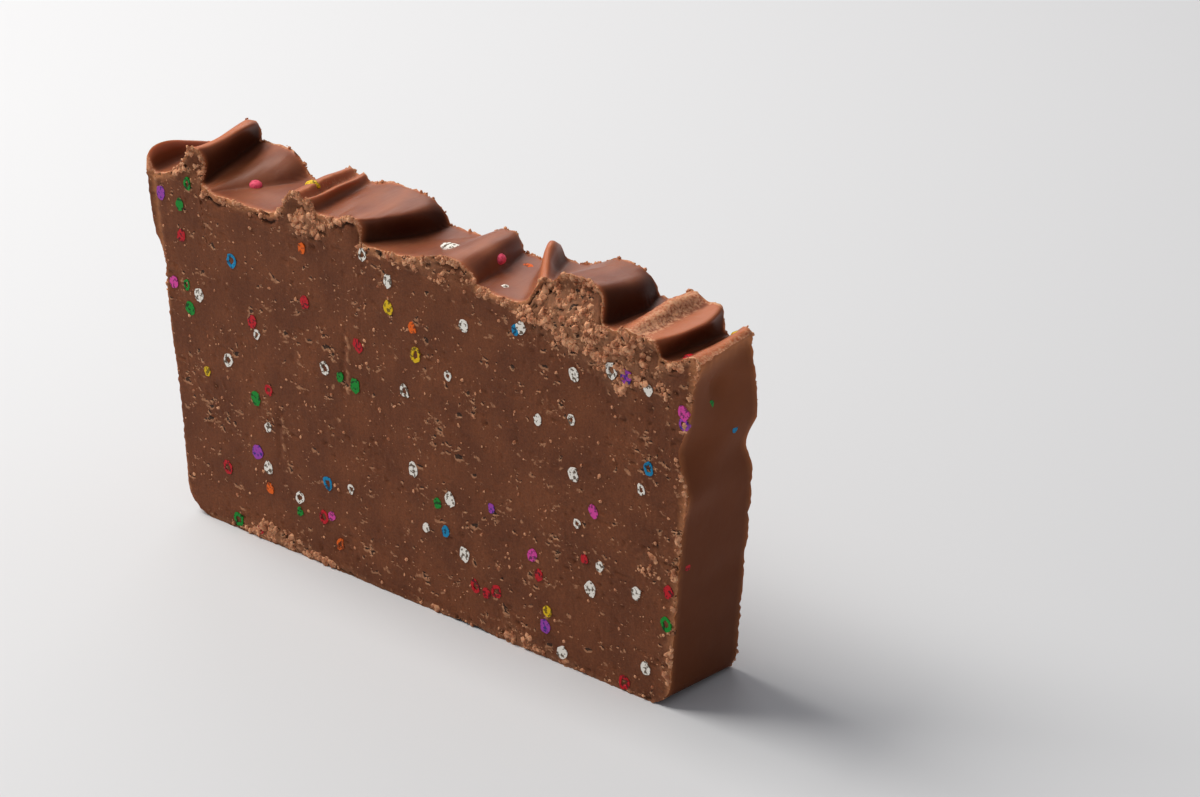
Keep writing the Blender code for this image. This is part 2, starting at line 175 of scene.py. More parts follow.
class Fold(NamedTuple):
    """One fold of the swirled top, from its crest down to the hollow on its right.

    Rise and fall are the widths in which a slope loses half its height, and the edges say how abruptly. Inside
    the slice a swell raises the crest, most at its place in the thickness, a bulge widens the fall, and a hook
    leans the crest over the hollow. Foot says how crisp the crease at the foot of the fall is; glow how thin and
    translucent the crest's lip is, and so how much painted glow of light through it the skin takes; and shade
    how much painted shade the skin takes at the foot of the fall.
    """

    crest: Pair
    height: Pair
    basin: Pair
    floor: Pair
    rise: Pair
    rise_edge: Pair
    fall: Pair
    fall_edge: Pair
    bulge: float = 0.0
    hook: float = 0.0
    swell: float = 0.0
    swell_at: float = 0.5
    foot: float = 0.0
    glow: float = 0.3
    shade: float = 1.0


class Dent(NamedTuple):
    """A shallow dent, or a bulge where the depth is negative, in an end wall.

    Reach is its size up the wall, and share_reach its size across it as a share of the thickness.
    """

    height: float
    share: float
    reach: float
    depth: float
    share_reach: float = 0.4

    def depth_at(self, height: float, share: float) -> float:
        """How deep it is at a height and a share of the thickness."""
        return self.depth * bell(height - self.height, self.reach) * bell(share - self.share, self.share_reach)


class Chip(NamedTuple):
    """A piece broken from the edge of a cut."""

    place: float
    height: float
    length: float
    drop: float
    depth: float

    def depth_at(self, place: float, height: float) -> float:
        """How deep it is at a place and a height."""
        return self.depth * bell(place - self.place, self.length) * bell(height - self.height, self.drop)


class Zone(NamedTuple):
    """A part of a cut face that broke crumbly under the knife."""

    place: float
    height: float
    length: float
    drop: float
    strength: float

    def strength_at(self, place: float, height: float) -> float:
        """How crumbly it makes the cut at a place and a height."""
        return self.strength * bell(place - self.place, self.length) * bell(height - self.height, self.drop)


class Drag(NamedTuple):
    """A groove that a hard piece left as the knife dragged it down a cut face."""

    place: float
    low: float
    high: float


class Strewn(NamedTuple):
    """A stretch of the skin that crumbs and dried sugar cover."""

    place: float
    reach: float
    strength: float


class Rim(NamedTuple):
    """A border of a cut face that broke crumbly."""

    strength: float
    reach: float

    def strength_at(self, distance: float) -> float:
        """How crumbly it makes the cut at a distance from the border."""
        return self.strength * bell(distance, self.reach)


FOLDS = (
    Fold(
        crest=(-0.0668, -0.0668), height=(0.0687, 0.0690), basin=(-0.0632, -0.0645), floor=(0.0683, 0.0689),
        rise=(0.001, 0.001), rise_edge=(2, 2), fall=(0.0011, 0.0010), fall_edge=(4, 4),
        swell=0.0038, swell_at=0.22, glow=0.5,
    ),
    Fold(
        crest=(-0.0554, -0.0556), height=(0.0757, 0.0763), basin=(-0.0516, -0.0506), floor=(0.0687, 0.0730),
        rise=(0.0028, 0.0046), rise_edge=(1.5, 2.4), fall=(0.0025, 0.0028), fall_edge=(6, 5),
        hook=0.0030, swell=0.0014, swell_at=0.66, foot=0.8, glow=1.0,
    ),
    Fold(
        crest=(-0.0508, -0.0478), height=(0.0683, 0.0734), basin=(-0.0500, -0.0362), floor=(0.0680, 0.0692),
        rise=(0.0004, 0.0012), rise_edge=(2, 3), fall=(0.0004, 0.0070), fall_edge=(3, 3.0),
        bulge=0.40, foot=0.6, glow=0.4, shade=0.6,
    ),
    Fold(
        crest=(-0.0274, -0.0294), height=(0.0742, 0.0735), basin=(-0.0257, -0.0276), floor=(0.0728, 0.0724),
        rise=(0.0036, 0.0031), rise_edge=(4, 2.2), fall=(0.0009, 0.0009), fall_edge=(3, 3),
        hook=0.0003, swell=0.0005, glow=0.8,
    ),
    Fold(
        crest=(-0.0247, -0.0262), height=(0.0738, 0.0733), basin=(-0.0220, -0.0240), floor=(0.0714, 0.0720),
        rise=(0.0006, 0.0007), rise_edge=(3, 3), fall=(0.0010, 0.0011), fall_edge=(4, 3),
        hook=0.0012, swell=0.0003, glow=0.7,
    ),
    Fold(
        crest=(-0.0142, -0.0158), height=(0.0729, 0.0734), basin=(-0.0112, 0.0030), floor=(0.0683, 0.0687),
        rise=(0.0022, 0.0070), rise_edge=(3, 4), fall=(0.0016, 0.0096), fall_edge=(7, 3.4),
        bulge=0.34, hook=0.0036, swell=0.0005, swell_at=0.6, foot=0.85, glow=0.35,
    ),
    Fold(
        crest=(0.0098, 0.0088), height=(0.0717, 0.0718), basin=(0.0180, 0.0142), floor=(0.0678, 0.0684),
        rise=(0.0074, 0.0034), rise_edge=(2, 2.6), fall=(0.0050, 0.0036), fall_edge=(2.8, 5),
        bulge=0.12, hook=0.0014, swell=0.0008, swell_at=0.6, foot=0.7, glow=0.25, shade=0.3,
    ),
    Fold(
        crest=(0.0303, 0.0209), height=(0.0731, 0.0722), basin=(0.0316, 0.0238), floor=(0.0725, 0.0698),
        rise=(0.0017, 0.0015), rise_edge=(3.5, 5), fall=(0.0008, 0.0015), fall_edge=(3, 4),
        swell=0.0022, swell_at=0.7, glow=1.0,
    ),
    Fold(
        crest=(0.0372, 0.0356), height=(0.0753, 0.0735), basin=(0.0462, 0.0473), floor=(0.0689, 0.0689),
        rise=(0.0044, 0.0050), rise_edge=(5, 2), fall=(0.0070, 0.0078), fall_edge=(9, 4.0),
        bulge=0.20, hook=0.0016, foot=0.8, glow=0.2,
    ),
    Fold(
        crest=(0.0506, 0.0524), height=(0.0700, 0.0721), basin=(0.0536, 0.0556), floor=(0.0695, 0.0708),
        rise=(0.0020, 0.0030), rise_edge=(3, 3.5), fall=(0.0018, 0.0020), fall_edge=(3, 3),
        hook=0.0004, swell=0.0009, swell_at=0.6, glow=0.9,
    ),
    Fold(
        crest=(0.0553, 0.0569), height=(0.0698, 0.0711), basin=(0.0591, 0.0604), floor=(0.0663, 0.0662),
        rise=(0.0007, 0.0006), rise_edge=(3, 3), fall=(0.0017, 0.0018), fall_edge=(6, 6),
        bulge=0.10, hook=0.0024, foot=0.8, glow=0.9,
    ),
    Fold(
        crest=(0.0646, 0.0642), height=(0.0691, 0.0688), basin=(0.0665, 0.0660), floor=(0.0683, 0.0680),
        rise=(0.0030, 0.0030), rise_edge=(2.6, 2.4), fall=(0.0010, 0.0010), fall_edge=(2.4, 2.4),
        swell=-0.0004, glow=1.0,
    ),
)

LEFT_DENTS = (
    Dent(height=0.0500, share=0.0, reach=0.0025, depth=0.0007),
    Dent(height=0.0350, share=0.6, reach=0.0100, depth=0.0006),
)
RIGHT_DENTS = (
    Dent(height=0.0415, share=0.0, reach=0.0030, depth=-0.0010),
    Dent(height=0.0505, share=0.0, reach=0.0045, depth=0.0018),
    Dent(height=0.0675, share=0.0, reach=0.0030, depth=-0.0014),
    Dent(height=0.0660, share=1.0, reach=0.0030, depth=0.0009),
    Dent(height=0.0465, share=1.0, reach=0.0040, depth=0.0010),
    Dent(height=0.0590, share=0.5, reach=0.0050, depth=0.0007),
    Dent(height=0.0230, share=0.7, reach=0.0030, depth=0.0004),
    Dent(height=0.0615, share=0.42, reach=0.0026, depth=0.0011, share_reach=0.13),
)
FRONT_CHIPS = (
    Chip(place=-0.0530, height=0.0725, length=0.0034, drop=0.0032, depth=0.0017),
    Chip(place=-0.0275, height=0.0710, length=0.0016, drop=0.0020, depth=0.0012),
    Chip(place=-0.0118, height=0.0700, length=0.0016, drop=0.0022, depth=0.0008),
    Chip(place=0.0140, height=0.0690, length=0.0050, drop=0.0016, depth=0.0008),
    Chip(place=0.0310, height=0.0715, length=0.0050, drop=0.0030, depth=0.0016),
    Chip(place=0.0380, height=0.0735, length=0.0075, drop=0.0036, depth=0.0030),
    Chip(place=0.0560, height=0.0665, length=0.0030, drop=0.0016, depth=0.0010),
)
BACK_CHIPS = (
    Chip(place=0.0640, height=0.0465, length=0.0040, drop=0.0032, depth=0.0020),
    Chip(place=0.0600, height=0.0010, length=0.0040, drop=0.0012, depth=0.0020),
    Chip(place=-0.0380, height=0.0700, length=0.0040, drop=0.0030, depth=0.0010),
    Chip(place=-0.0640, height=0.0300, length=0.0050, drop=0.0050, depth=0.0012),
)
FRONT_ZONES = (
    Zone(place=0.0350, height=0.0690, length=0.0100, drop=0.0065, strength=1.0),
    Zone(place=0.0480, height=0.0640, length=0.0110, drop=0.0050, strength=0.9),
    Zone(place=0.0600, height=0.0560, length=0.0070, drop=0.0100, strength=0.35),
    Zone(place=0.0060, height=0.0680, length=0.0120, drop=0.0032, strength=0.6),
    Zone(place=-0.0250, height=0.0690, length=0.0060, drop=0.0045, strength=0.9),
    Zone(place=-0.0540, height=0.0700, length=0.0060, drop=0.0040, strength=0.6),
    Zone(place=0.0520, height=0.0200, length=0.0100, drop=0.0200, strength=0.25),
    Zone(place=-0.0340, height=0.0015, length=0.0130, drop=0.0024, strength=0.7),
    Zone(place=0.0260, height=0.0020, length=0.0090, drop=0.0028, strength=0.6),
)
TOP_CRUMBS = (
    Strewn(place=0.0530, reach=0.0036, strength=1.0),
    Strewn(place=0.0660, reach=0.0024, strength=0.95),
    Strewn(place=-0.0275, reach=0.0012, strength=0.60),
)
FRONT_DRAGS = (Drag(place=-0.0167, low=0.0375, high=0.0489), Drag(place=-0.0341, low=0.0189, high=0.0284))
BACK_ZONES = (
    Zone(place=-0.0380, height=0.0680, length=0.0120, drop=0.0040, strength=0.7),
    Zone(place=0.0300, height=0.0640, length=0.0140, drop=0.0060, strength=0.6),
    Zone(place=0.0550, height=0.0100, length=0.0120, drop=0.0080, strength=0.4),
)


@dataclass(frozen=True)
class SliceForm:
    """The form of the slice, as the pan, the swirls of its top and the knife gave it. Sizes in metres."""

    base_half_left: float = 0.0595
    base_half_right: float = 0.0603
    left_draft: float = 0.085
    right_draft: float = 0.078
    left_corner_radius: Pair = (0.0068, 0.0058)
    right_corner_radius: Pair = (0.0044, 0.0022)
    corner_share: float = 0.0345
    settled_from: float = 0.004
    thickness: float = 0.0195
    top_thinning: float = 0.0028
    thinning: tuple[float, float] = (0.050, 0.068)
    ledge_height: float = 0.0552
    ledge_softness: float = 0.0012
    ledge_depth: float = 0.0014
    waist_height: float = 0.024
    waist_reach: float = 0.016
    waist_depth: float = 0.0009
    relief_fade: float = 0.004
    face_wave: float = 0.00035
    face_wave_length: float = 0.022
    ridge_wander: float = 0.0006
    wander_step: float = 3.7
    wander_rate: float = 2.3
    lean_evenness: float = 0.7
    foot_roundness: float = 0.6
    foot_reach: float = 1.1
    # The painted shade at the foot of a fall: the drops of a fold between which it comes in, the shares of the
    # way to the foot between which it grows, and how far past the foot it fades.
    painted_shade_drop: tuple[float, float] = (0.0010, 0.0036)
    painted_shade_from: tuple[float, float] = (0.40, 0.95)
    painted_shade_fade: float = 0.0016
    # How far from a crest the painted glow of its thin lip reaches.
    lip_reach: float = 0.0013
    samples_per_slope: int = 60
    straight_to: float = 0.0600
    straight_share: float = 0.84
    notch_place: float = 0.0137
    notch_length: float = 0.0032
    notch_rise: float = 0.0013
    notch_share: float = 0.10

    def left_wall(self, height: float) -> float:
        """Where the pan's left wall stood at a height."""
        return -(self.base_half_left + self.left_draft * height)

    def right_wall(self, height: float) -> float:
        """Where the pan's right wall stood at a height."""
        return self.base_half_right + self.right_draft * height

    def unsettled(self, height: float) -> float:
        """How freely the faces may stray: not at all at the base, where the slice settled square on the pan."""
        return min(height / self.settled_from, 1.0)

    def end_relief(self, place: float, height: float, share: float) -> float:
        """How far the ledge, waist and dents of an end shift a point near it along the slice.

        Args:
            place: where the point stands along the slice.
            height: its height.
            share: its share of the thickness.

        Returns:
            The shift along the slice.
        """
        ledge = self.ledge_depth / (1.0 + math.exp((self.ledge_height - height) / self.ledge_softness))
        waist = self.waist_depth * bell(height - self.waist_height, self.waist_reach)
        left = waist + sum(dent.depth_at(height, share) for dent in LEFT_DENTS) - ledge
        right = -sum(dent.depth_at(height, share) for dent in RIGHT_DENTS)
        near_left = bell(place - self.left_wall(height), self.relief_fade)
        near_right = bell(place - self.right_wall(height), self.relief_fade)
        return self.unsettled(height) * (left * near_left + right * near_right)

    def wander(self, number: float, share: float) -> float:
        """How far a crest line strays from straight inside the slice."""
        stray = noise.noise(Vector((number * self.wander_step, share * self.wander_rate, 0.5)))
        return self.ridge_wander * math.sin(math.pi * share) * stray

    def stations(self, share: float) -> list[tuple[float, float]]:
        """The crests and hollows met along the top.

        Args:
            share: the share of the thickness, 0 at the front cut and 1 at the back one.

        Returns:
            Place and height of each crest and hollow in turn.
        """
        met = []
        for number, fold in enumerate(FOLDS):
            to_the_middle = math.log(0.5, fold.swell_at)
            swell = fold.swell * math.sin(math.pi * share**to_the_middle)
            met.append((at(fold.crest, share) + self.wander(number, share), at(fold.height, share) + swell))
            met.append((at(fold.basin, share) + self.wander(number + 0.5, share), at(fold.floor, share)))
        met[0] = (self.left_wall(met[0][1]), met[0][1])
        met[-1] = (self.right_wall(met[-1][1]), met[-1][1])
        return met

    def slope(self, distance: float, span: float, half: float, edge: float, foot: float = 0.0) -> float:
        """What is left of a crest's height, from 1 at the crest to 0 at the foot of the slope.

        Args:
            distance: how far the point is from the crest.
            span: how far the hollow is from the crest.
            half: the distance at which half of the height is left.
            edge: how abruptly the height is lost.
            foot: how crisp the crease at the foot is, from 0 to 1.

        Returns:
            The share of the height.
        """
        end = 1.0 / (1.0 + (span / half) ** edge)
        soft = (1.0 / (1.0 + (distance / half) ** edge) - end) / (1.0 - end)
        at_half = 1.0 - 0.5 ** (1.0 / self.foot_roundness)
        reach = min(half / at_half ** (1.0 / edge), span)
        crisp = max(1.0 - (distance / reach) ** edge, 0.0) ** self.foot_roundness
        return soft + (crisp - soft) * foot

    def painted_shade(self, fold: Fold, drop: float, from_crest: float, foot_at: float) -> float:
        """How much painted shade a point of a fall takes at the foot of its fold.

        Args:
            fold: the fold.
            drop: how far the fold falls.
            from_crest: how far the point is from the crest.
            foot_at: how far the foot of the fall is from the crest.

        Returns:
            From 0, no painted shade, to 1, the fullest painted shade at the foot of a high fold.
        """
        start, full = (part * foot_at for part in self.painted_shade_from)
        deep = ramp(drop, *self.painted_shade_drop) * ramp(from_crest, start, full)
        return deep * fold.shade * (1.0 - ramp(from_crest, foot_at, foot_at + self.painted_shade_fade))

    def top_point(
        self, met: list[tuple[float, float]], position: float, share: float
    ) -> tuple[float, float, float, float]:
        """A point of the top.

        Args:
            met: the crests and hollows at this share of the thickness.
            position: how many slopes from the left end.
            share: the share of the thickness.

        Returns:
            Place, height, how thin the lip is there, which sets its painted glow, and how much painted shade it
            takes at the foot of a fold, both from 0 to 1.
        """
        number = min(int(position), len(met) - 2)
        along = position - number
        (near_x, near_z), (far_x, far_z) = met[number], met[number + 1]
        span = far_x - near_x
        falling = number % 2 == 0
        if falling:
            fold = FOLDS[number // 2]
            from_crest = along * span
            half = at(fold.fall, share) * (1.0 + fold.bulge * math.sin(math.pi * share))
            left = self.slope(from_crest, span, half, at(fold.fall_edge, share), fold.foot)
            height = far_z + (near_z - far_z) * left
            painted_shade = self.painted_shade(fold, near_z - far_z, from_crest, min(self.foot_reach * half, span))
        else:
            fold = FOLDS[number // 2 + 1]
            from_crest = (1.0 - along) * span
            left = self.slope(from_crest, span, at(fold.rise, share), at(fold.rise_edge, share))
            height = near_z + (far_z - near_z) * left
            painted_shade = 0.0
        lean = fold.hook * math.sin(math.pi * share) ** self.lean_evenness * left**2
        return near_x + span * along + lean, height, fold.glow * bell(from_crest, self.lip_reach), painted_shade

    def even_positions(self, columns: int) -> list[float]:
        """Positions that cut the top into columns of even width along its curve.

        Args:
            columns: how many columns.

        Returns:
            One position more than there are columns.
        """
        slopes = 2 * len(FOLDS) - 1
        samples = slopes * self.samples_per_slope
        fine = [slopes * i / samples for i in range(samples + 1)]
        lengths = [0.0] * len(fine)
        for share in (0.0, 0.5, 1.0):
            met = self.stations(share)
            points = [Vector(self.top_point(met, position, share)[:2]) for position in fine]
            run = 0.0
            for i in range(1, len(fine)):
                run += (points[i] - points[i - 1]).length
                lengths[i] += run
        chosen = []
        i = 0
        for column in range(columns + 1):
            wanted = lengths[-1] * column / columns
            while i < len(fine) - 2 and lengths[i + 1] < wanted:
                i += 1
            part = (wanted - lengths[i]) / (lengths[i + 1] - lengths[i])
            chosen.append(fine[i] + (fine[i + 1] - fine[i]) * part)
        return chosen

    def round_base(self, place: float, height: float, share: float) -> tuple[float, float]:
        """Draws a point in the square corner of an end's base onto the pan's rounded corner.

        Args:
            place: where the point stands along the slice.
            height: its height.
            share: its share of the thickness.

        Returns:
            Its new place and height.
        """
        ends = (
            (self.left_wall, -1.0, self.left_corner_radius),
            (self.right_wall, 1.0, self.right_corner_radius),
        )
        for wall, outward, radii in ends:
            radius = at(radii, share)
            beside = 1.0 - outward * (wall(height) - place) / radius
            below = 1.0 - height / radius
            if beside > 0.0 and below > 0.0:
                pull = max(beside, below) / math.hypot(beside, below)
                height = radius * (1.0 - below * pull)
                place = wall(height) - outward * radius * (1.0 - beside * pull)
        return place, height

    def base_point(self, u: float, share: float) -> tuple[float, float]:
        """Place and height of a point of the base: flat, and rounded up at its two ends.

        Args:
            u: the point's share of the length, from the left end.
            share: its share of the thickness.

        Returns:
            Its place and height.
        """
        left_radius, right_radius = at(self.left_corner_radius, share), at(self.right_corner_radius, share)
        left, right = self.left_wall(0.0) + left_radius, self.right_wall(0.0) - right_radius
        past_left, past_right = 1.0 - u / self.corner_share, 1.0 - (1.0 - u) / self.corner_share
        half_corner = math.pi / 4.0
        if past_left > 0.0:
            angle = half_corner * past_left
            return left - left_radius * math.sin(angle), left_radius * (1.0 - math.cos(angle))
        if past_right > 0.0:
            angle = half_corner * past_right
            return right + right_radius * math.sin(angle), right_radius * (1.0 - math.cos(angle))
        along = (u - self.corner_share) / (1.0 - 2.0 * self.corner_share)
        return left + (right - left) * along, 0.0

    def front_cut(self, place: float, height: float) -> float:
        """Where the front cut stands, with its waves and chips.

        Args:
            place: the place along the slice.
            height: the height.

        Returns:
            The distance from the plane in which the knife came down.
        """
        wave = self.face_wave * noise.noise(Vector((place, 0.0, height)) / self.face_wave_length)
        chipped = sum(chip.depth_at(place, height) for chip in FRONT_CHIPS)
        return self.unsettled(height) * (wave + chipped)

    def back_cut(self, place: float, height: float) -> float:
        """Where the back cut stands: the slice is thinner near its top.

        Args:
            place: the place along the slice.
            height: the height.

        Returns:
            The distance from the plane in which the knife came down in front.
        """
        wave = self.face_wave * noise.noise(Vector((place, 1.0, height)) / self.face_wave_length)
        thinned = self.top_thinning * ramp(height, *self.thinning)
        chipped = sum(chip.depth_at(place, height) for chip in BACK_CHIPS)
        return self.thickness - thinned + self.unsettled(height) * (wave - chipped)


@dataclass
class CutRelief:
    """The crumbs, pits and cracks that the knife left on a cut face. Sizes in metres.

    A bare third number in a noise vector sets its pattern apart from the others.
    """

    form: SliceForm
    zones: tuple[Zone, ...]
    seed: float
    seed_reach: float = 0.01
    drags: tuple[Drag, ...] = ()
    drag_width: float = 0.5 * MM
    drag_depth: float = 0.24 * MM
    drag_stray: float = 0.7 * MM
    drag_stray_length: float = 2.0 * MM
    drag_break_length: float = 1.3 * MM
    drag_break: tuple[float, float] = (-0.35, 0.3)
    edge_round: float = 0.30 * MM
    edge_reach: float = 0.55 * MM
    top_rim: Rim = Rim(strength=0.8, reach=1.3 * MM)
    top_rim_below: float = 0.3 * MM
    base_rim: Rim = Rim(strength=0.6, reach=1.3 * MM)
    left_rim: Rim = Rim(strength=0.3, reach=0.8 * MM)
    right_rim: Rim = Rim(strength=0.65, reach=0.9 * MM)
    patch_size: float = 11.0 * MM
    patch_strength: float = 0.3
    patch_spread: tuple[float, float] = (0.1, 0.5)
    lump_size: float = 1.45 * MM
    lump_rise: float = 0.46 * MM
    lump_flatness: float = 1.25
    lump_fullness: float = 1.7
    lump_middle: float = 0.55
    lump_stray: float = 0.35
    lump_stray_length: float = 2.0 * MM
    grain_size: float = 0.7 * MM
    grain_rise: float = 0.16 * MM
    smooth_grain: float = 0.35
    pit_length: float = 1.9 * MM
    pit_height: float = 0.9 * MM
    pit_depth: float = 0.6 * MM
    pit_spread: tuple[float, float] = (0.36, 0.56)
    smooth_pit: float = 0.25
    crack_below: float = 1.5 * MM
    crack_width: float = 0.34 * MM
    crack_depth: float = 0.7 * MM
    crack_stray: float = 0.9 * MM
    crack_stray_length: float = 3.1 * MM
    crack_open_length: float = 6.5 * MM
    crack_open: tuple[float, float] = (0.0, 0.3)
    crust: float = 0.9 * MM
    # Beside the ends the cut takes the crust colour in a ragged strip: partly its crumbly rim, partly painted rim
    # light.
    rim_reach: float = 0.75 * MM
    rim_grain: float = 1.5 * MM
    rim_stray: float = 0.9
    rim_crust_and_light: float = 0.9
    left_rim_share: float = 0.85
    deepest: float = 1.5 * MM
    proudest: float = 0.45 * MM

    def from_ends(self, place: float, height: float) -> tuple[float, float]:
        """How far a point is from the left end and from the right one."""
        return place - self.form.left_wall(height), place - self.form.right_wall(height)

    def patches(self, place: float, height: float, size: float) -> float:
        """A noise with patches of a size, which each cut has to itself."""
        return noise.noise(Vector((place, self.seed * self.seed_reach, height)) / size)

    def crumble(self, place: float, height: float, top: float) -> float:
        """How crumbly the cut is at a point.

        Args:
            place: where the point stands along the slice.
            height: its height.
            top: the height of the slice's top edge above it.

        Returns:
            From 0, cut smooth, to 1, all crumbs.
        """
        from_left, from_right = self.from_ends(place, height)
        below_top = top - height - self.top_rim_below
        edges = self.top_rim.strength_at(below_top) + self.base_rim.strength_at(height)
        ends = self.left_rim.strength_at(from_left) + self.right_rim.strength_at(from_right)
        zones = sum(zone.strength_at(place, height) for zone in self.zones)
        patch = self.patches(place, height, self.patch_size)
        return min(1.0, edges + ends + zones + self.patch_strength * ramp(patch, *self.patch_spread))

    def dragged(self, place: float, height: float) -> float:
        """How far the drags lower a point, or raise it at their borders.

        Args:
            place: where the point stands along the slice.
            height: its height.

        Returns:
            How far the drags move the point out of the cut.
        """
        out = 0.0
        for drag in self.drags:
            if drag.low < height < drag.high:
                stray = noise.noise(Vector((height / self.drag_stray_length, drag.place, 0.0)))
                beside = place - drag.place + self.drag_stray * stray
                gaps = noise.noise(Vector((height / self.drag_break_length, drag.place, 7.0)))
                out -= self.drag_depth * bell(beside, self.drag_width)
                raised = bell(beside - 2.0 * self.drag_width, self.drag_width)
                out += ramp(gaps, *self.drag_break) * self.drag_depth * raised
        return out

    def crack(self, place: float, height: float, top: float) -> float:
        """How open the crack under the skin is at a point.

        Args:
            place: where the point stands along the slice.
            height: its height.
            top: the height of the slice's top edge above it.

        Returns:
            From 0, closed, to 1, open.
        """
        stray = noise.noise(Vector((place / self.crack_stray_length, self.seed, 0.3)))
        line = bell(top - height - self.crack_below - self.crack_stray * stray, self.crack_width)
        open_here = noise.noise(Vector((place / self.crack_open_length, self.seed, 4.1)))
        return line * ramp(open_here, *self.crack_open)

    def rise(self, place: float, height: float, top: float) -> tuple[float, float, float]:
        """The relief of the cut at a point.

        Args:
            place: where the point stands along the slice.
            height: its height.
            top: the height of the slice's top edge above it.

        Returns:
            How far the point stands out, how crumbly it is there, and how much of the skin's crust it is, partly
            painted rim light beside the ends.
        """
        crumble = self.crumble(place, height, top)
        spot = Vector((place, self.seed, height))
        stray = noise.noise_vector(spot / self.lump_stray_length) * self.lump_stray
        near, _ = noise.voronoi(Vector((spot.x, 0.0, spot.z * self.lump_flatness)) / self.lump_size + stray)
        lump = min(1.0, self.lump_fullness * (near[1] - near[0])) - self.lump_middle
        grain = noise.noise(spot / self.grain_size)
        holes = noise.noise(Vector((place / self.pit_length, self.seed, height / self.pit_height)))
        out = crumble * (self.lump_rise * lump + self.grain_rise * grain)
        out += self.smooth_grain * self.grain_rise * grain
        pit = ramp(holes, *self.pit_spread)
        out -= self.pit_depth * pit * (self.smooth_pit + (1.0 - self.smooth_pit) * crumble)
        out -= self.crack_depth * self.crack(place, height, top)
        out += self.dragged(place, height)
        ragged = 1.0 + self.rim_stray * noise.noise(spot / self.rim_grain)
        from_left, from_right = self.from_ends(place, height)
        # Beside the ends the crust colour is partly painted rim light.
        beside = self.left_rim_share * bell(from_left, self.rim_reach * ragged)
        beside += bell(from_right, self.rim_reach * ragged)
        crust = bell(max(top - height, 0.0), self.crust * ragged) + self.rim_crust_and_light * beside
        return max(min(out, self.proudest), -self.deepest), crumble, min(1.0, crust)

    def rounded(self, place: float, height: float) -> float:
        """How far the knife's edge rounded the cut off beside an end."""
        from_left, from_right = self.from_ends(place, height)
        return self.edge_round * (bell(from_left, self.edge_reach) + bell(from_right, self.edge_reach))


@dataclass(frozen=True)
class Finish:
    """What every finish has: a name, a gloss, and how much and how far light spreads under the surface."""

    name: str
    roughness: float
    specular: float
    glow: float = 0.0
    glow_tint: tuple[float, float, float] = (1.0, 0.36, 0.18)
    glow_reach: float = 1.0 * MM

    def start(self) -> tuple[bpy.types.Material, bpy.types.NodeTree, bpy.types.Node]:
        """Starts the material.

        Returns:
            The material, its node tree and its Principled shader, which has the finish's gloss and glow.
        """
        material = bpy.data.materials.new(self.name)
        material.use_nodes = True
        tree = material.node_tree
        shader = tree.nodes["Principled BSDF"]
        gloss = {"Roughness": self.roughness, "Specular IOR Level": self.specular}
        glow = {
            "Subsurface Weight": self.glow,
            "Subsurface Radius": self.glow_tint,
            "Subsurface Scale": self.glow_reach,
        }
        fill(tree, shader, gloss | glow)
        return material, tree, shader


class Marks(NamedTuple):
    """Small marks on the cut that one noise draws.

    Lift is how far the pattern is lifted, as a share of a mark's height. Low and full are the values of the
    noise at which a mark starts and is full.
    """

    length: float
    height: float
    lift: float
    low: float
    full: float


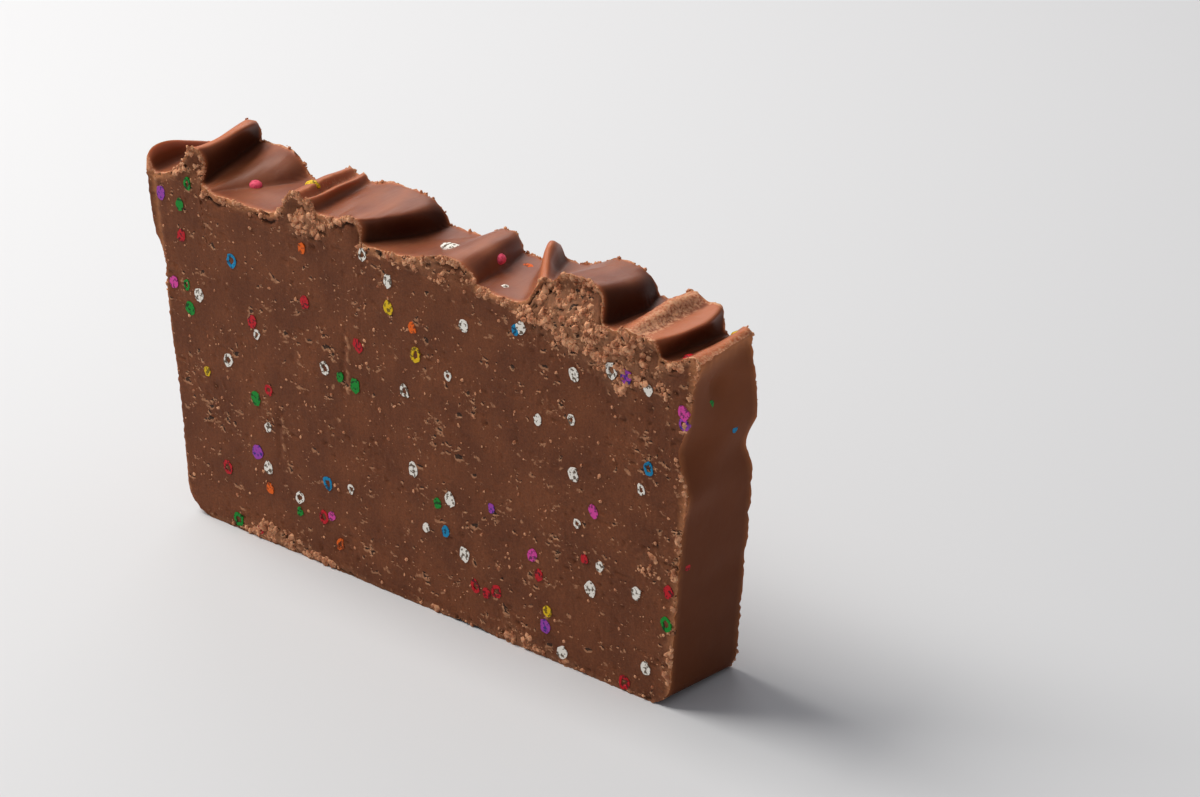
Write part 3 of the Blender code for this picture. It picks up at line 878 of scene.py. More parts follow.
@dataclass(frozen=True)
class CutFudge(Finish):
    """Chocolate fudge as a knife leaves it: a dull, dense brown face with tan crumbs beside small pits of painted
    shade.
    """

    name: str = "chocolate_fudge_cut_by_knife"
    roughness: float = 0.7
    specular: float = 0.2
    glow: float = 0.12
    glow_tint: tuple[float, float, float] = (1.0, 0.35, 0.18)
    glow_reach: float = 1.2 * MM
    brown: str = "7a4529"
    dark_brown: str = "6b3b23"
    crumb: str = "dba077"
    crust: str = "c98356"
    # The near-black painted shade in the pits.
    pit: str = "1d0e08"
    flecks: Marks = Marks(length=1.5 * MM, height=1.05 * MM, lift=0.0, low=0.665, full=0.72)
    fleck_pits: Marks = Marks(length=1.5 * MM, height=1.05 * MM, lift=0.30, low=0.70, full=0.72)
    scabs: Marks = Marks(length=3.0 * MM, height=2.0 * MM, lift=0.0, low=0.64, full=0.70)
    scab_pits: Marks = Marks(length=3.0 * MM, height=2.0 * MM, lift=0.16, low=0.70, full=0.72)
    slant: float = 0.3
    cluster: float = 7.0 * MM
    cluster_spread: Spread = (0.35, 0.65, -0.05, 0.05)
    crumble_gain: float = 0.04
    mottle: float = 9.0 * MM
    mottle_spread: Spread = (0.38, 0.62)
    streak_width: float = 0.8 * MM
    streak_length: float = 26.0 * MM
    streak_spread: Spread = (0.3, 0.7, 0.95, 1.05)
    grain: float = 0.40 * MM
    grain_spread: Spread = (0.3, 0.7, 0.78, 1.22)
    ground_spread: Spread = (0.35, 1.0)
    proud_spread: Spread = (0.08, 0.62)
    deep_shade_spread: Spread = (-0.5, -1.6)
    ground_cover: float = 0.26
    crust_cover: float = 0.72
    scab_cover: float = 0.45
    fleck_cover: float = 0.7
    proud_cover: float = 0.75
    pit_shade_cover: float = 0.9

    def build(self) -> bpy.types.Material:
        """Builds the material.

        Returns:
            The material, which reads Object coordinates and the body's crumble, relief and crust attributes.
        """
        material, tree, shader = self.start()
        place = add_node(tree, "TexCoord", "Object")
        crumble, relief, crust = (
            add_node(tree, "Attribute", "Fac", attribute_name=name) for name in ("crumble", "relief", "crust")
        )
        # Butter and sugar are not spread quite evenly, so the brown is mottled over about a centimetre.
        mottle = add_node(tree, "TexNoise", "Fac", {"Vector": place, "Scale": 1.0 / self.mottle, "Detail": 4.0})
        mottled = add_node(tree, "MapRange", "Result", (mottle, *self.mottle_spread))
        # The knife smeared faint upright streaks down the face.
        size = (1.0 / self.streak_width, 1.0, 1.0 / self.streak_length)
        stretched = add_node(tree, "Mapping", "Vector", {"Vector": place, "Scale": size})
        streak = add_node(tree, "TexNoise", "Fac", {"Vector": stretched, "Scale": 1.0, "Detail": 2.0})
        streaked = add_node(tree, "MapRange", "Result", (streak, *self.streak_spread))
        # Crumbs pulled up by the knife, drawn out along the cut, with pits just above them that are painted dark
        # with shade; they lie in clusters, and thin broad scabs of smeared crumb lie between them, with pits of
        # painted shade of their own.
        loose = {"Vector": place, "Scale": 1.0 / self.cluster, "Detail": 3.0}
        cluster = add_node(tree, "TexNoise", "Fac", loose)
        gathered = add_node(tree, "MapRange", "Result", (cluster, *self.cluster_spread))
        extra = add_node(
            tree, "Math", "Value", (crumble, self.crumble_gain, gathered), operation="MULTIPLY_ADD"
        )
        masks = []
        for marks, more in (
            (self.flecks, extra), (self.fleck_pits, extra), (self.scabs, gathered), (self.scab_pits, gathered)
        ):
            size = (1.0 / marks.length, 1.0 / marks.length, 1.0 / marks.height)
            shift = (-self.slant * marks.lift, 0.0, -marks.lift)
            laid = add_node(tree, "Mapping", "Vector", {"Vector": place, "Scale": size, "Location": shift})
            torn = {"Vector": laid, "Scale": 1.0, "Detail": 3.0, "Roughness": 0.55, "Distortion": 0.2}
            spots = add_node(tree, "TexNoise", "Fac", torn)
            risen = add_node(tree, "Math", "Value", (spots, more), operation="ADD")
            masks.append(
                add_node(
                    tree, "MapRange", "Result", (risen, marks.low, marks.full), interpolation_type="SMOOTHSTEP"
                )
            )
        fleck, fleck_pit, scab, scab_pit = masks
        pits = add_node(tree, "Math", "Value", (fleck_pit, scab_pit), operation="MAXIMUM")
        ground = add_node(tree, "MapRange", "Result", (crumble, *self.ground_spread))
        proud = add_node(tree, "MapRange", "Result", (relief, *self.proud_spread))
        # Where the relief sinks deep, the cut is painted dark with the shade of its pits.
        deep = add_node(tree, "MapRange", "Result", (relief, *self.deep_shade_spread))
        layers = (
            (mottled, 1.0, self.brown),
            (ground, self.ground_cover, self.crumb),
            (crust, self.crust_cover, self.crust),
            (scab, self.scab_cover, self.crumb),
            (fleck, self.fleck_cover, self.crumb),
            (proud, self.proud_cover, self.crumb),
            (pits, self.pit_shade_cover, self.pit),
            (deep, self.pit_shade_cover, self.pit),
        )
        colour = layered(tree, self.dark_brown, layers)
        # Sugar grains make the face finely light and dark. They are drawn as coarse as they need to show.
        fine = {"Vector": place, "Scale": 1.0 / self.grain, "Detail": 4.0, "Roughness": 0.65}
        grain = add_node(tree, "TexNoise", "Fac", fine)
        grained = add_node(tree, "MapRange", "Result", (grain, *self.grain_spread))
        tone = add_node(tree, "Math", "Value", (grained, streaked), operation="MULTIPLY")
        toned = add_node(tree, "VectorMath", "Vector", {0: colour, "Scale": tone}, operation="SCALE")
        rough = add_node(tree, "Bump", "Normal", {"Height": grain, "Strength": 0.5, "Distance": 0.18 * MM})
        raised = add_node(tree, "Math", "Value", (fleck, pits), operation="SUBTRACT")
        marked = {"Height": raised, "Strength": 0.45, "Distance": 0.22 * MM, "Normal": rough}
        fill(tree, shader, {"Base Color": toned, "Normal": add_node(tree, "Bump", "Normal", marked)})
        return material


@dataclass(frozen=True)
class SetSkin(Finish):
    """The set top of poured fudge: smooth and fatty, dull-glossed, translucent with painted glow at thin lips and
    painted shade under folds.
    """

    name: str = "chocolate_fudge_set_skin"
    roughness: float = 0.37
    specular: float = 0.28
    glow: float = 0.22
    glow_tint: tuple[float, float, float] = (1.0, 0.36, 0.16)
    glow_reach: float = 2.4 * MM
    brown: str = "95583d"
    dark_brown: str = "824832"
    # The painted glow of light through thin lips and along the cut edges.
    lip_light: str = "bd6c44"
    crumb: str = "d59b76"
    # The painted shade at the foot of the folds, how much of the brown it covers, and the lowered specular under
    # it.
    deep: str = "2b0f07"
    painted_shade_cover: float = 0.85
    painted_shade_specular: float = 0.04
    crumbed_roughness: float = 0.67
    mottle: float = 7.0 * MM
    mottle_spread: Spread = (0.35, 0.65)
    comb: float = 0.9 * MM
    comb_stretch: tuple[float, float, float] = (1.0, 0.12, 0.35)
    comb_turn: float = 0.5
    pore: float = 0.5 * MM
    crumbed_spread: Spread = (0.32, 0.58)

    def build(self) -> bpy.types.Material:
        """Builds the material.

        Returns:
            The material, which reads Object coordinates and the body's attributes of painted lip glow, painted
            fold shade and crumble.
        """
        material, tree, shader = self.start()
        place = add_node(tree, "TexCoord", "Object")
        lip_light, painted_shade, crumble = (
            add_node(tree, "Attribute", "Fac", attribute_name=name) for name in ("lip_light", "painted_shade", "crumble")
        )
        mottle = add_node(tree, "TexNoise", "Fac", {"Vector": place, "Scale": 1.0 / self.mottle, "Detail": 3.0})
        mottled = add_node(tree, "MapRange", "Result", (mottle, *self.mottle_spread))
        pore = add_node(tree, "TexNoise", "Fac", {"Vector": place, "Scale": 1.0 / self.pore, "Detail": 3.0})
        speckled = add_node(tree, "Math", "Value", (crumble, pore), operation="MULTIPLY")
        crumbed = add_node(tree, "MapRange", "Result", (speckled, *self.crumbed_spread))
        # At the foot of a fold the skin is painted dark with shade, its thin lips and cut edges are painted warm
        # with the glow of light through them, and crumbs and dried sugar speckle it near the cuts.
        layers = (
            (mottled, 1.0, self.brown),
            (painted_shade, self.painted_shade_cover, self.deep),
            (lip_light, 1.0, self.lip_light),
            (crumbed, 1.0, self.crumb),
        )
        colour = layered(tree, self.dark_brown, layers)
        # The spatula combed fine lines across the swirls while the fudge was still soft.
        size = [stretch / self.comb for stretch in self.comb_stretch]
        turned = {"Vector": place, "Scale": size, "Rotation": (0.0, 0.0, self.comb_turn)}
        along = add_node(tree, "Mapping", "Vector", turned)
        comb = add_node(tree, "TexNoise", "Fac", {"Vector": along, "Scale": 1.0, "Detail": 2.0})
        combed = add_node(tree, "Bump", "Normal", {"Height": comb, "Strength": 0.25, "Distance": 0.16 * MM})
        pored = {"Height": pore, "Strength": 0.22, "Distance": 0.08 * MM, "Normal": combed}
        # Crumbs dull the skin, and under the painted shade its specular is lowered.
        duller = (crumble, 0.0, 1.0, self.roughness, self.crumbed_roughness)
        sheen = (painted_shade, 0.0, 1.0, self.specular, self.painted_shade_specular)
        sockets = {
            "Base Color": colour,
            "Normal": add_node(tree, "Bump", "Normal", pored),
            "Roughness": add_node(tree, "MapRange", "Result", duller),
            "Specular IOR Level": add_node(tree, "MapRange", "Result", sheen),
        }
        fill(tree, shader, sockets)
        return material


@dataclass(frozen=True)
class PanMoulded(Finish):
    """Fudge that set against a lined pan: smooth and flat with a faint gloss, crumbly at its broken rims."""

    name: str = "chocolate_fudge_pan_moulded"
    roughness: float = 0.6
    specular: float = 0.09
    glow: float = 0.15
    glow_reach: float = 1.8 * MM
    brown: str = "703c22"
    light_brown: str = "874c2d"
    # The rims are painted pale: partly crumb, partly painted rim light.
    pale_lit_rim: str = "c67c4e"
    wave: float = 5.0 * MM
    wave_share: float = 0.5
    pale_spread: Spread = (0.15, 1.3)
    pore: float = 0.6 * MM
    # Between these heights the ends are painted paler upwards and darker downwards: partly their own tone, partly
    # painted light and shade.
    light_from: float = 0.040
    light_to: float = 0.068
    low_shade: float = 0.72

    def build(self) -> bpy.types.Material:
        """Builds the material.

        Returns:
            The material, which reads Object coordinates and the body's attribute of painted glow and rim light at
            lips and rims.
        """
        material, tree, shader = self.start()
        place = add_node(tree, "TexCoord", "Object")
        lip_light = add_node(tree, "Attribute", "Fac", attribute_name="lip_light")
        height = add_node(tree, "SeparateXYZ", "Z", {"Vector": place})
        # Towards the top the end is painted unevenly paler: partly its own tone, partly painted light.
        tone_and_light_upwards = add_node(tree, "MapRange", "Result", (height, self.light_from, self.light_to))
        wave = add_node(tree, "TexNoise", "Fac", {"Vector": place, "Scale": 1.0 / self.wave, "Detail": 3.0})
        uneven = add_node(tree, "Math", "Value", (wave, self.wave_share, tone_and_light_upwards), operation="MULTIPLY_ADD")
        paler = add_node(tree, "MapRange", "Result", (uneven, *self.pale_spread))
        # The rims take the pale colour, partly crumb and partly painted rim light.
        colour = layered(tree, self.brown, ((paler, 1.0, self.light_brown), (lip_light, 1.0, self.pale_lit_rim)))
        # Towards the bottom it is painted darker: partly its own tone, partly painted shade near the floor.
        tone_and_shade_downwards = add_node(tree, "MapRange", "Result", (height, 0.0, self.light_from, self.low_shade, 1.0))
        shaded = add_node(tree, "VectorMath", "Vector", {0: colour, "Scale": tone_and_shade_downwards}, operation="SCALE")
        pore = add_node(tree, "TexNoise", "Fac", {"Vector": place, "Scale": 1.0 / self.pore, "Detail": 3.0})
        waved = add_node(tree, "Bump", "Normal", {"Height": wave, "Strength": 0.3, "Distance": 0.5 * MM})
        pored = {"Height": pore, "Strength": 0.3, "Distance": 0.08 * MM, "Normal": waved}
        fill(tree, shader, {"Base Color": shaded, "Normal": add_node(tree, "Bump", "Normal", pored)})
        return material


@dataclass(frozen=True)
class Crumbs(Finish):
    """Loose fudge crumbs: dry sugar grains hold them, so they are paler and duller than the slice."""

    name: str = "chocolate_fudge_crumbs"
    roughness: float = 0.85
    specular: float = 0.15
    glow: float = 0.15
    glow_tint: tuple[float, float, float] = (1.0, 0.4, 0.2)
    glow_reach: float = 0.8 * MM
    pale: str = "e6a880"
    brown: str = "a36547"
    grain: float = 1.4 * MM
    grain_spread: Spread = (0.35, 0.65)

    def build(self) -> bpy.types.Material:
        """Builds the material.

        Returns:
            The material, whose tan and brown crumbs follow a noise in Object coordinates.
        """
        material, tree, shader = self.start()
        place = add_node(tree, "TexCoord", "Object")
        grain = add_node(tree, "TexNoise", "Fac", {"Vector": place, "Scale": 1.0 / self.grain, "Detail": 2.0})
        mixed = add_node(tree, "MapRange", "Result", (grain, *self.grain_spread))
        colour = layered(tree, self.brown, ((mixed, 1.0, self.pale),))
        rough = add_node(tree, "Bump", "Normal", {"Height": grain, "Strength": 0.5, "Distance": 0.2 * MM})
        fill(tree, shader, {"Base Color": colour, "Normal": rough})
        return material


@dataclass(frozen=True, kw_only=True)
class CandyShell(Finish):
    """Hard panned sugar: a thin bright shell with darker spots, and painted shade in its hollow core."""

    colour: str
    core_shade: str
    roughness: float = 0.5
    specular: float = 0.2
    # The size of the darker spots, and the values of its noise between which they come in.
    crack: float = 0.6 * MM
    spot_spread: Spread = (0.51, 0.60)

    def build(self) -> bpy.types.Material:
        """Builds the material.

        Returns:
            The material, whose darker spots follow a noise in Object coordinates, and whose painted shade in the
            core follows the sprinkles' hollow attribute.
        """
        material, tree, shader = self.start()
        place = add_node(tree, "TexCoord", "Object")
        hollow = add_node(tree, "Attribute", "Fac", attribute_name="hollow")
        spot_noise = add_node(tree, "TexNoise", "Fac", {"Vector": place, "Scale": 1.0 / self.crack, "Detail": 2.0})
        dark_spots = add_node(
            tree, "MapRange", "Result", (spot_noise, *self.spot_spread), interpolation_type="SMOOTHSTEP"
        )
        # The hollow core is painted dark with shade, and the spots take the same darker colour.
        spots_and_core_shade = add_node(tree, "Math", "Value", (dark_spots, hollow), operation="MAXIMUM")
        colour = layered(tree, self.colour, ((spots_and_core_shade, 1.0, self.core_shade),))
        rough = add_node(tree, "Bump", "Normal", {"Height": spot_noise, "Strength": 0.4, "Distance": 0.15 * MM})
        fill(tree, shader, {"Base Color": colour, "Normal": rough})
        return material


class Candy(Enum):
    """The colours of the sprinkles, each with its shell colour and a darker colour for its spots and for the
    painted shade in its hollow core.
    """

    WHITE = CandyShell("sugar_shell_white", roughness=0.7, colour="f6f0e6", core_shade="6b5c4e")
    RED = CandyShell("sugar_shell_red", colour="c40c1e", core_shade="5a0b12")
    GREEN = CandyShell("sugar_shell_green", colour="048a2a", core_shade="04400f")
    YELLOW = CandyShell("sugar_shell_yellow", colour="e6bc06", core_shade="7c6408")
    ORANGE = CandyShell("sugar_shell_orange", colour="ee6406", core_shade="8a3a0a")
    BLUE = CandyShell("sugar_shell_blue", colour="0284b4", core_shade="033f5c")
    PINK = CandyShell("sugar_shell_pink", colour="dc44a0", core_shade="74285a")
    PURPLE = CandyShell("sugar_shell_purple", colour="a040ac", core_shade="3a2a80")
    ROSE = CandyShell("sugar_shell_rose", colour="ff5f7e", core_shade="e04c68")


# Sprinkles cut through in the front cut, as (place, height) in millimetres.
FRONT_SPRINKLES: dict[Candy, tuple[tuple[float, float], ...]] = {
    Candy.WHITE: (
        (-11.2, 66.5), (-5.0, 63.2), (13.1, 59.7), (26.8, 63.4), (9.2, 48.9), (-1.6, 42.6), (-46.8, 35.2),
        (-21.5, 41.2), (-39.0, 42.8), (-54.1, 46.4), (-37.0, 24.3), (-37.4, 15.7), (-15.7, 18.3), (0.2, 27.5),
        (-29.2, 12.1), (9.2, 24.4), (3.3, 16.8), (12.7, 14.4), (38.9, 58.1), (47.3, 61.3), (55.5, 60.3),
        (38.2, 49.4), (30.5, 46.9), (38.8, 39.0), (54.3, 41.1), (39.7, 29.7), (44.8, 22.8), (42.5, 17.6),
        (53.1, 20.5), (36.1, 2.7), (55.4, 6.3),
    ),
    Candy.RED: (
        (-58.2, 57.4), (-40.2, 44.9), (-26.3, 52.8), (-13.1, 48.1), (-36.4, 32.2), (-48.3, 12.4), (-23.0, 10.1),
        (-40.0, 1.9), (30.5, 16.3), (41.3, 23.2), (15.2, 8.8), (17.9, 8.3), (20.4, 9.6), (60.5, 23.3),
        (50.4, 1.9),
    ),
    Candy.GREEN: (
        (-55.9, 68.3), (-58.1, 63.7), (-57.3, 47.5), (-56.7, 43.0), (-17.7, 40.5), (-13.9, 39.8), (-39.9, 29.4),
        (-29.3, 9.1), (-45.9, 2.1), (6.2, 22.6), (60.0, 16.8),
    ),
    Candy.YELLOW: ((-5.1, 57.9), (1.5, 50.7), (-52.6, 31.2), (32.6, 9.8)),
    Candy.ORANGE: ((-26.4, 63.6), (0.7, 55.7), (-37.1, 11.4), (-18.8, 5.9)),
    Candy.BLUE: ((-45.1, 55.8), (25.4, 62.6), (-21.7, 17.6), (8.1, 17.6), (55.9, 45.5)),
    Candy.PINK: ((-20.9, 11.0), (43.4, 33.3), (-60.8, 47.1), (29.1, 19.8), (63.3, 58.3)),
    Candy.PURPLE: ((-63.1, 64.8), (-40.0, 18.2), (50.6, 61.2), (63.4, 56.3), (19.2, 25.9), (32.1, 6.6)),
}
# Sprinkles that show in the pan-moulded right end, as (share of the thickness, height in millimetres).
RIGHT_SPRINKLES: dict[Candy, tuple[tuple[float, float], ...]] = {
    Candy.GREEN: ((0.36, 57.9),),
    Candy.BLUE: ((0.69, 50.8),),
    Candy.RED: ((0.14, 27.7),),
}
# One sprinkle of each of these colours shows in the left end: its height in millimetres, and the shares of the
# thickness between which it is drawn.
LEFT_SPRINKLES: dict[Candy, float] = {Candy.RED: 47.0, Candy.WHITE: 33.0, Candy.GREEN: 18.0}
LEFT_SHARES = (0.3, 0.7)
# Sprinkles in the skin of the top, as (place in millimetres, share of the thickness, how proud in millimetres,
# how many times longer than wide it is smeared).
TOP_SPRINKLES: dict[Candy, tuple[tuple[float, float, float, float], ...]] = {
    Candy.ROSE: ((-45.3, 0.44, 0.24, 1.1), (14.0, 0.50, 0.60, 1.1)),
    Candy.YELLOW: ((-28.6, 0.33, 0.16, 1.2), (63.2, 0.88, 0.1, 1.1)),
    Candy.ORANGE: ((17.2, 0.77, 0.22, 1.7), (42.0, 0.60, 0.15, 1.2)),
    Candy.WHITE: ((5.7, 0.36, 0.26, 2.4), (12.5, 0.46, 0.12, 1.3), (19.5, 0.24, 0.10, 1.3)),
    Candy.RED: ((61.8, 0.22, 0.0, 1.1),),
}


def link_mesh(shape: bmesh.types.BMesh, name: str, materials: Iterable[bpy.types.Material]) -> bpy.types.Object:
    """Turns a shape into an object at the origin with its materials, linked to the scene.

    Args:
        shape: the shape, which is freed.
        name: the object's name.
        materials: its material slots in order.

    Returns:
        The object.
    """
    mesh = bpy.data.meshes.new(name)
    shape.to_mesh(mesh)
    shape.free()
    for material in materials:
        mesh.materials.append(material)
    piece = bpy.data.objects.new(name, mesh)
    bpy.context.scene.collection.objects.link(piece)
    return piece


def joined(parts: Iterable[bmesh.types.BMesh]) -> bmesh.types.BMesh:
    """Joins small closed shapes into one that stands on the floor, its faces outwards.

    Args:
        parts: the shapes, which are freed.

    Returns:
        The whole shape.
    """
    whole = bmesh.new()
    carrier = bpy.data.meshes.new("carrier")
    for part in parts:
        part.to_mesh(carrier)
        part.free()
        whole.from_mesh(carrier)
    bpy.data.meshes.remove(carrier)
    bmesh.ops.recalc_face_normals(whole, faces=whole.faces[:])
    for vertex in whole.verts:
        vertex.co.z = max(vertex.co.z, 0.0)
    return whole


@dataclass
class FudgeBody:
    """The slice itself: a fine lattice drawn onto its form, with the knife's and the spatula's marks.

    A bare number in a noise vector sets its pattern apart from the others.
    """

    form: SliceForm
    columns: int = 160
    rows: int = 20
    levels: int = 84
    snap: float = 1e-5
    edge_break: float = 0.38 * MM
    edge_reach: float = 0.045
    edge_grain: float = 1.3 * MM
    across_grain: float = 0.02
    rim_break: float = 0.30 * MM
    rim_grain: float = 1.2 * MM
    # An end's rims beside the cuts and under the top are painted pale, partly crumb and partly painted rim light:
    # how much at each, how far under the top, and how its mottle varies it.
    rim_pale_and_lit: tuple[float, float] = (0.75, 0.8)
    rim_reach: float = 2.2 * MM
    rim_mottle: tuple[float, float] = (0.75, 0.5)
    # How much painted glow the skin takes along the cut edges, and how much more crumbly a thin lip makes them.
    cut_edge_glow: float = 0.85
    lip_crumble: float = 0.6
    comb_depth: float = 0.10 * MM
    comb_spacing: float = 1.1 * MM
    comb_rate: float = 1.5
    comb_flat: float = 0.3
    comb_steep: tuple[float, float] = (0.0690, 0.0720)
    slow_depth: float = 0.15 * MM
    slow_spacing: float = 6.0 * MM
    slow_rate: float = 3.0
    reliefs: dict[Side, CutRelief] = field(default_factory=dict)
    met: dict[float, list[tuple[float, float]]] = field(default_factory=dict)

    def __post_init__(self) -> None:
        """Gives each cut face its own relief, and keeps the crests and hollows of the two cuts."""
        self.met = {share: self.form.stations(share) for share in (0.0, 1.0)}
        self.reliefs = {
            Side.FRONT_CUT: CutRelief(self.form, FRONT_ZONES, seed=0.0, drags=FRONT_DRAGS),
            Side.BACK_CUT: CutRelief(self.form, BACK_ZONES, seed=7.3),
        }

    def lattice(self) -> bmesh.types.BMesh:
        """A unit cube cut into an even lattice, twice as fine on the front cut and on the top.

        Returns:
            The cube's shape.
        """
        shape = bmesh.new()
        bmesh.ops.create_cube(shape, size=1.0)
        for axis, parts in enumerate((self.columns, self.rows, self.levels)):
            along = [e for e in shape.edges if abs(e.verts[0].co[axis] - e.verts[1].co[axis]) > 0.5]
            bmesh.ops.subdivide_edges(shape, edges=along, cuts=parts - 1)
        half = 0.5 - self.snap
        front = {e for e in shape.edges if all(v.co.y < -half for v in e.verts)}
        top = {e for e in shape.edges if all(v.co.z > half for v in e.verts)}
        finer = [e for e in shape.edges if e in front or e in top]
        bmesh.ops.subdivide_edges(shape, edges=finer, cuts=1, use_grid_fill=True)
        return shape

    @staticmethod
    def side_of(face: bmesh.types.BMFace) -> Side:
        """The side of the cube on which a face of the lattice lies."""
        return max(Side, key=lambda side: face.normal.dot(Vector(side.value)))

    def skin_marks(self, place: float, share: float, height: float) -> float:
        """How far the spatula's comb lines raise or lower the skin at a point.

        Args:
            place: where the point stands along the slice.
            share: its share of the thickness.
            height: its height. The lines are deeper on the swirls than on the floors between them.

        Returns:
            How far it rises.
        """
        comb = noise.noise(Vector((place / self.comb_spacing, share * self.comb_rate, 0.0)))
        slow = noise.noise(Vector((place / self.slow_spacing, share * self.slow_rate, 3.0)))
        deep = self.comb_flat + (1.0 - self.comb_flat) * ramp(height, *self.comb_steep)
        return self.comb_depth * comb * deep + self.slow_depth * slow

    def drawn(self, u: float, v: float, w: float, top_place: float, top_height: float) -> tuple[float, float]:
        """Draws a point of the lattice onto the slice's outline, before its ends' relief.

        Args:
            u: its share of the length, from the left end.
            v: its share of the thickness, from the front cut.
            w: its share of the height, from the base.
            top_place: the place of the top above it.
            top_height: the height of the top above it.

        Returns:
            Its place and height.
        """
        form = self.form
        straight = min(w / form.straight_share, 1.0)
        height = form.straight_to * straight
        top_left, top_right = form.left_wall(top_height), form.right_wall(top_height)
        left, right = form.left_wall(height), form.right_wall(height)
        spread = straight**2
        across = u * (1.0 - spread) + (top_place - top_left) / (top_right - top_left) * spread
        place = left + across * (right - left)
        risen = (w - form.straight_share) / (1.0 - form.straight_share)
        if risen > 0.0:
            return place + (top_place - place) * risen, height + (top_height - height) * risen
        if w > 0.0:
            return form.round_base(place, height, v)
        place, height = form.base_point(u, v)
        if v < form.notch_share:
            height += form.notch_rise * bell(place - form.notch_place, form.notch_length)
        return place, height

    def moved(
        self, u: float, v: float, w: float, top: tuple[float, float, float, float]
    ) -> tuple[Vector, dict[str, float]]:
        """Where a point of the lattice goes.

        Args:
            u: its share of the length, from the left end.
            v: its share of the thickness, from the front cut.
            w: its share of the height, from the base.
            top: place, height, lip thinness, which sets its painted glow, and painted shade of the top above it.

        Returns:
            The point in the row frame, and its value of each attribute.
        """
        form = self.form
        top_place, top_height, lip_light, painted_shade = top
        near_cut = bell(v, self.edge_reach) + bell(1.0 - v, self.edge_reach)
        top_height += self.skin_marks(top_place, v, top_height) * (1.0 - near_cut)
        broken = noise.noise(Vector((top_place, v * self.across_grain, 0.011)) / self.edge_grain)
        strewn = min(1.0, sum(s.strength * bell(top_place - s.place, s.reach) for s in TOP_CRUMBS))
        top_height += self.edge_break * max(near_cut, strewn) * broken
        place, height = self.drawn(u, v, w, top_place, top_height)
        place += form.end_relief(place, height, v)
        values = dict.fromkeys(ATTRIBUTES, 0.0)
        front = form.front_cut(place, height)
        back = form.back_cut(place, height)
        if v <= 0.0 or v >= 1.0:
            relief = self.reliefs[Side.FRONT_CUT if v <= 0.0 else Side.BACK_CUT]
            out, crumble, crust = relief.rise(place, height, top_height)
            values |= {"crumble": crumble, "relief": out / relief.proudest, "crust": crust}
            out -= relief.rounded(place, height)
            front, back = front - out, back + out
        y = front + v * (back - front)
        if u <= 0.0 or u >= 1.0:
            outward = -1.0 if u <= 0.0 else 1.0
            rough = noise.noise(Vector((u, v * self.across_grain, height)) / self.rim_grain)
            place += outward * self.rim_break * near_cut * rough
            # The end's rims beside the cuts and under the top are painted pale: partly crumb, partly painted rim
            # light.
            at_cut, at_top = self.rim_pale_and_lit
            pale_lit_rim = at_cut * min(near_cut, 1.0) + at_top * bell(top_height - height, self.rim_reach)
            least, varied = self.rim_mottle
            values["lip_light"] = min(1.0, pale_lit_rim * (least + varied * rough))
        if w >= 1.0:
            # The skin's thin lips and cut edges take painted glow, and the feet of its folds painted shade.
            values["lip_light"] = min(1.0, max(lip_light, self.cut_edge_glow * near_cut))
            values["painted_shade"] = painted_shade
            edge = min(1.0, near_cut * (1.0 + self.lip_crumble * lip_light))
            values["crumble"] = max(values["crumble"], edge, strewn)
        return Vector((place, y, max(height, 0.0))) - CENTRE, values

    def snapped(self, share: float) -> float:
        """A share that lies next to 0 or 1 made exactly that, and another one as it is."""
        return 0.0 if share < self.snap else 1.0 if share > 1.0 - self.snap else share

    def build(self, materials: dict[Side, bpy.types.Material]) -> bpy.types.Object:
        """Builds the slice.

        Args:
            materials: the finish of each side.

        Returns:
            The slice's object.
        """
        shape = self.lattice()
        slots = list(dict.fromkeys(materials.values()))
        sides = {face: self.side_of(face) for face in shape.faces}
        for face, side in sides.items():
            face.material_index = slots.index(materials[side])
            face.smooth = True
        for edge in shape.edges:
            edge.smooth = len({sides[face] for face in edge.link_faces}) == 1
        layers = {name: shape.verts.layers.float.new(name) for name in ATTRIBUTES}
        fine_columns, fine_rows = 2 * self.columns, 2 * self.rows
        positions = self.form.even_positions(fine_columns)
        tops = []
        for row in range(fine_rows + 1):
            share = row / fine_rows
            met = self.form.stations(share)
            tops.append([self.form.top_point(met, position, share) for position in positions])
        for vertex in shape.verts:
            u, v, w = (self.snapped(value + 0.5) for value in vertex.co)
            top = tops[round(v * fine_rows)][round(u * fine_columns)]
            vertex.co, values = self.moved(u, v, w, top)
            for name, layer in layers.items():
                vertex[layer] = values[name]
        return link_mesh(shape, "fudge_slice", slots)

    def surface(self, side: Side, place: float, height: float) -> Vector:
        """The point of a cut face at a place and a height.

        Args:
            side: the cut face.
            place: the place along the slice.
            height: the height.

        Returns:
            The point in the row frame.
        """
        relief = self.reliefs[side]
        in_front = side is Side.FRONT_CUT
        top = self.top_height(place, 0.0 if in_front else 1.0)
        out = relief.rise(place, height, top)[0] - relief.rounded(place, height)
        y = self.form.front_cut(place, height) - out if in_front else self.form.back_cut(place, height) + out
        return Vector((place, y, height)) - CENTRE

    def top_height(self, place: float, share: float) -> float:
        """The height of the top at a place.

        Args:
            place: the place along the slice.
            share: the share of the thickness.

        Returns:
            The height, without the spatula's and the knife's marks.
        """
        met = self.met.get(share) or self.form.stations(share)
        number = max(i for i in range(len(met) - 1) if met[i][0] <= max(place, met[0][0]))
        along = (place - met[number][0]) / (met[number + 1][0] - met[number][0])
        return self.form.top_point(met, number + min(max(along, 0.0), 1.0), share)[1]


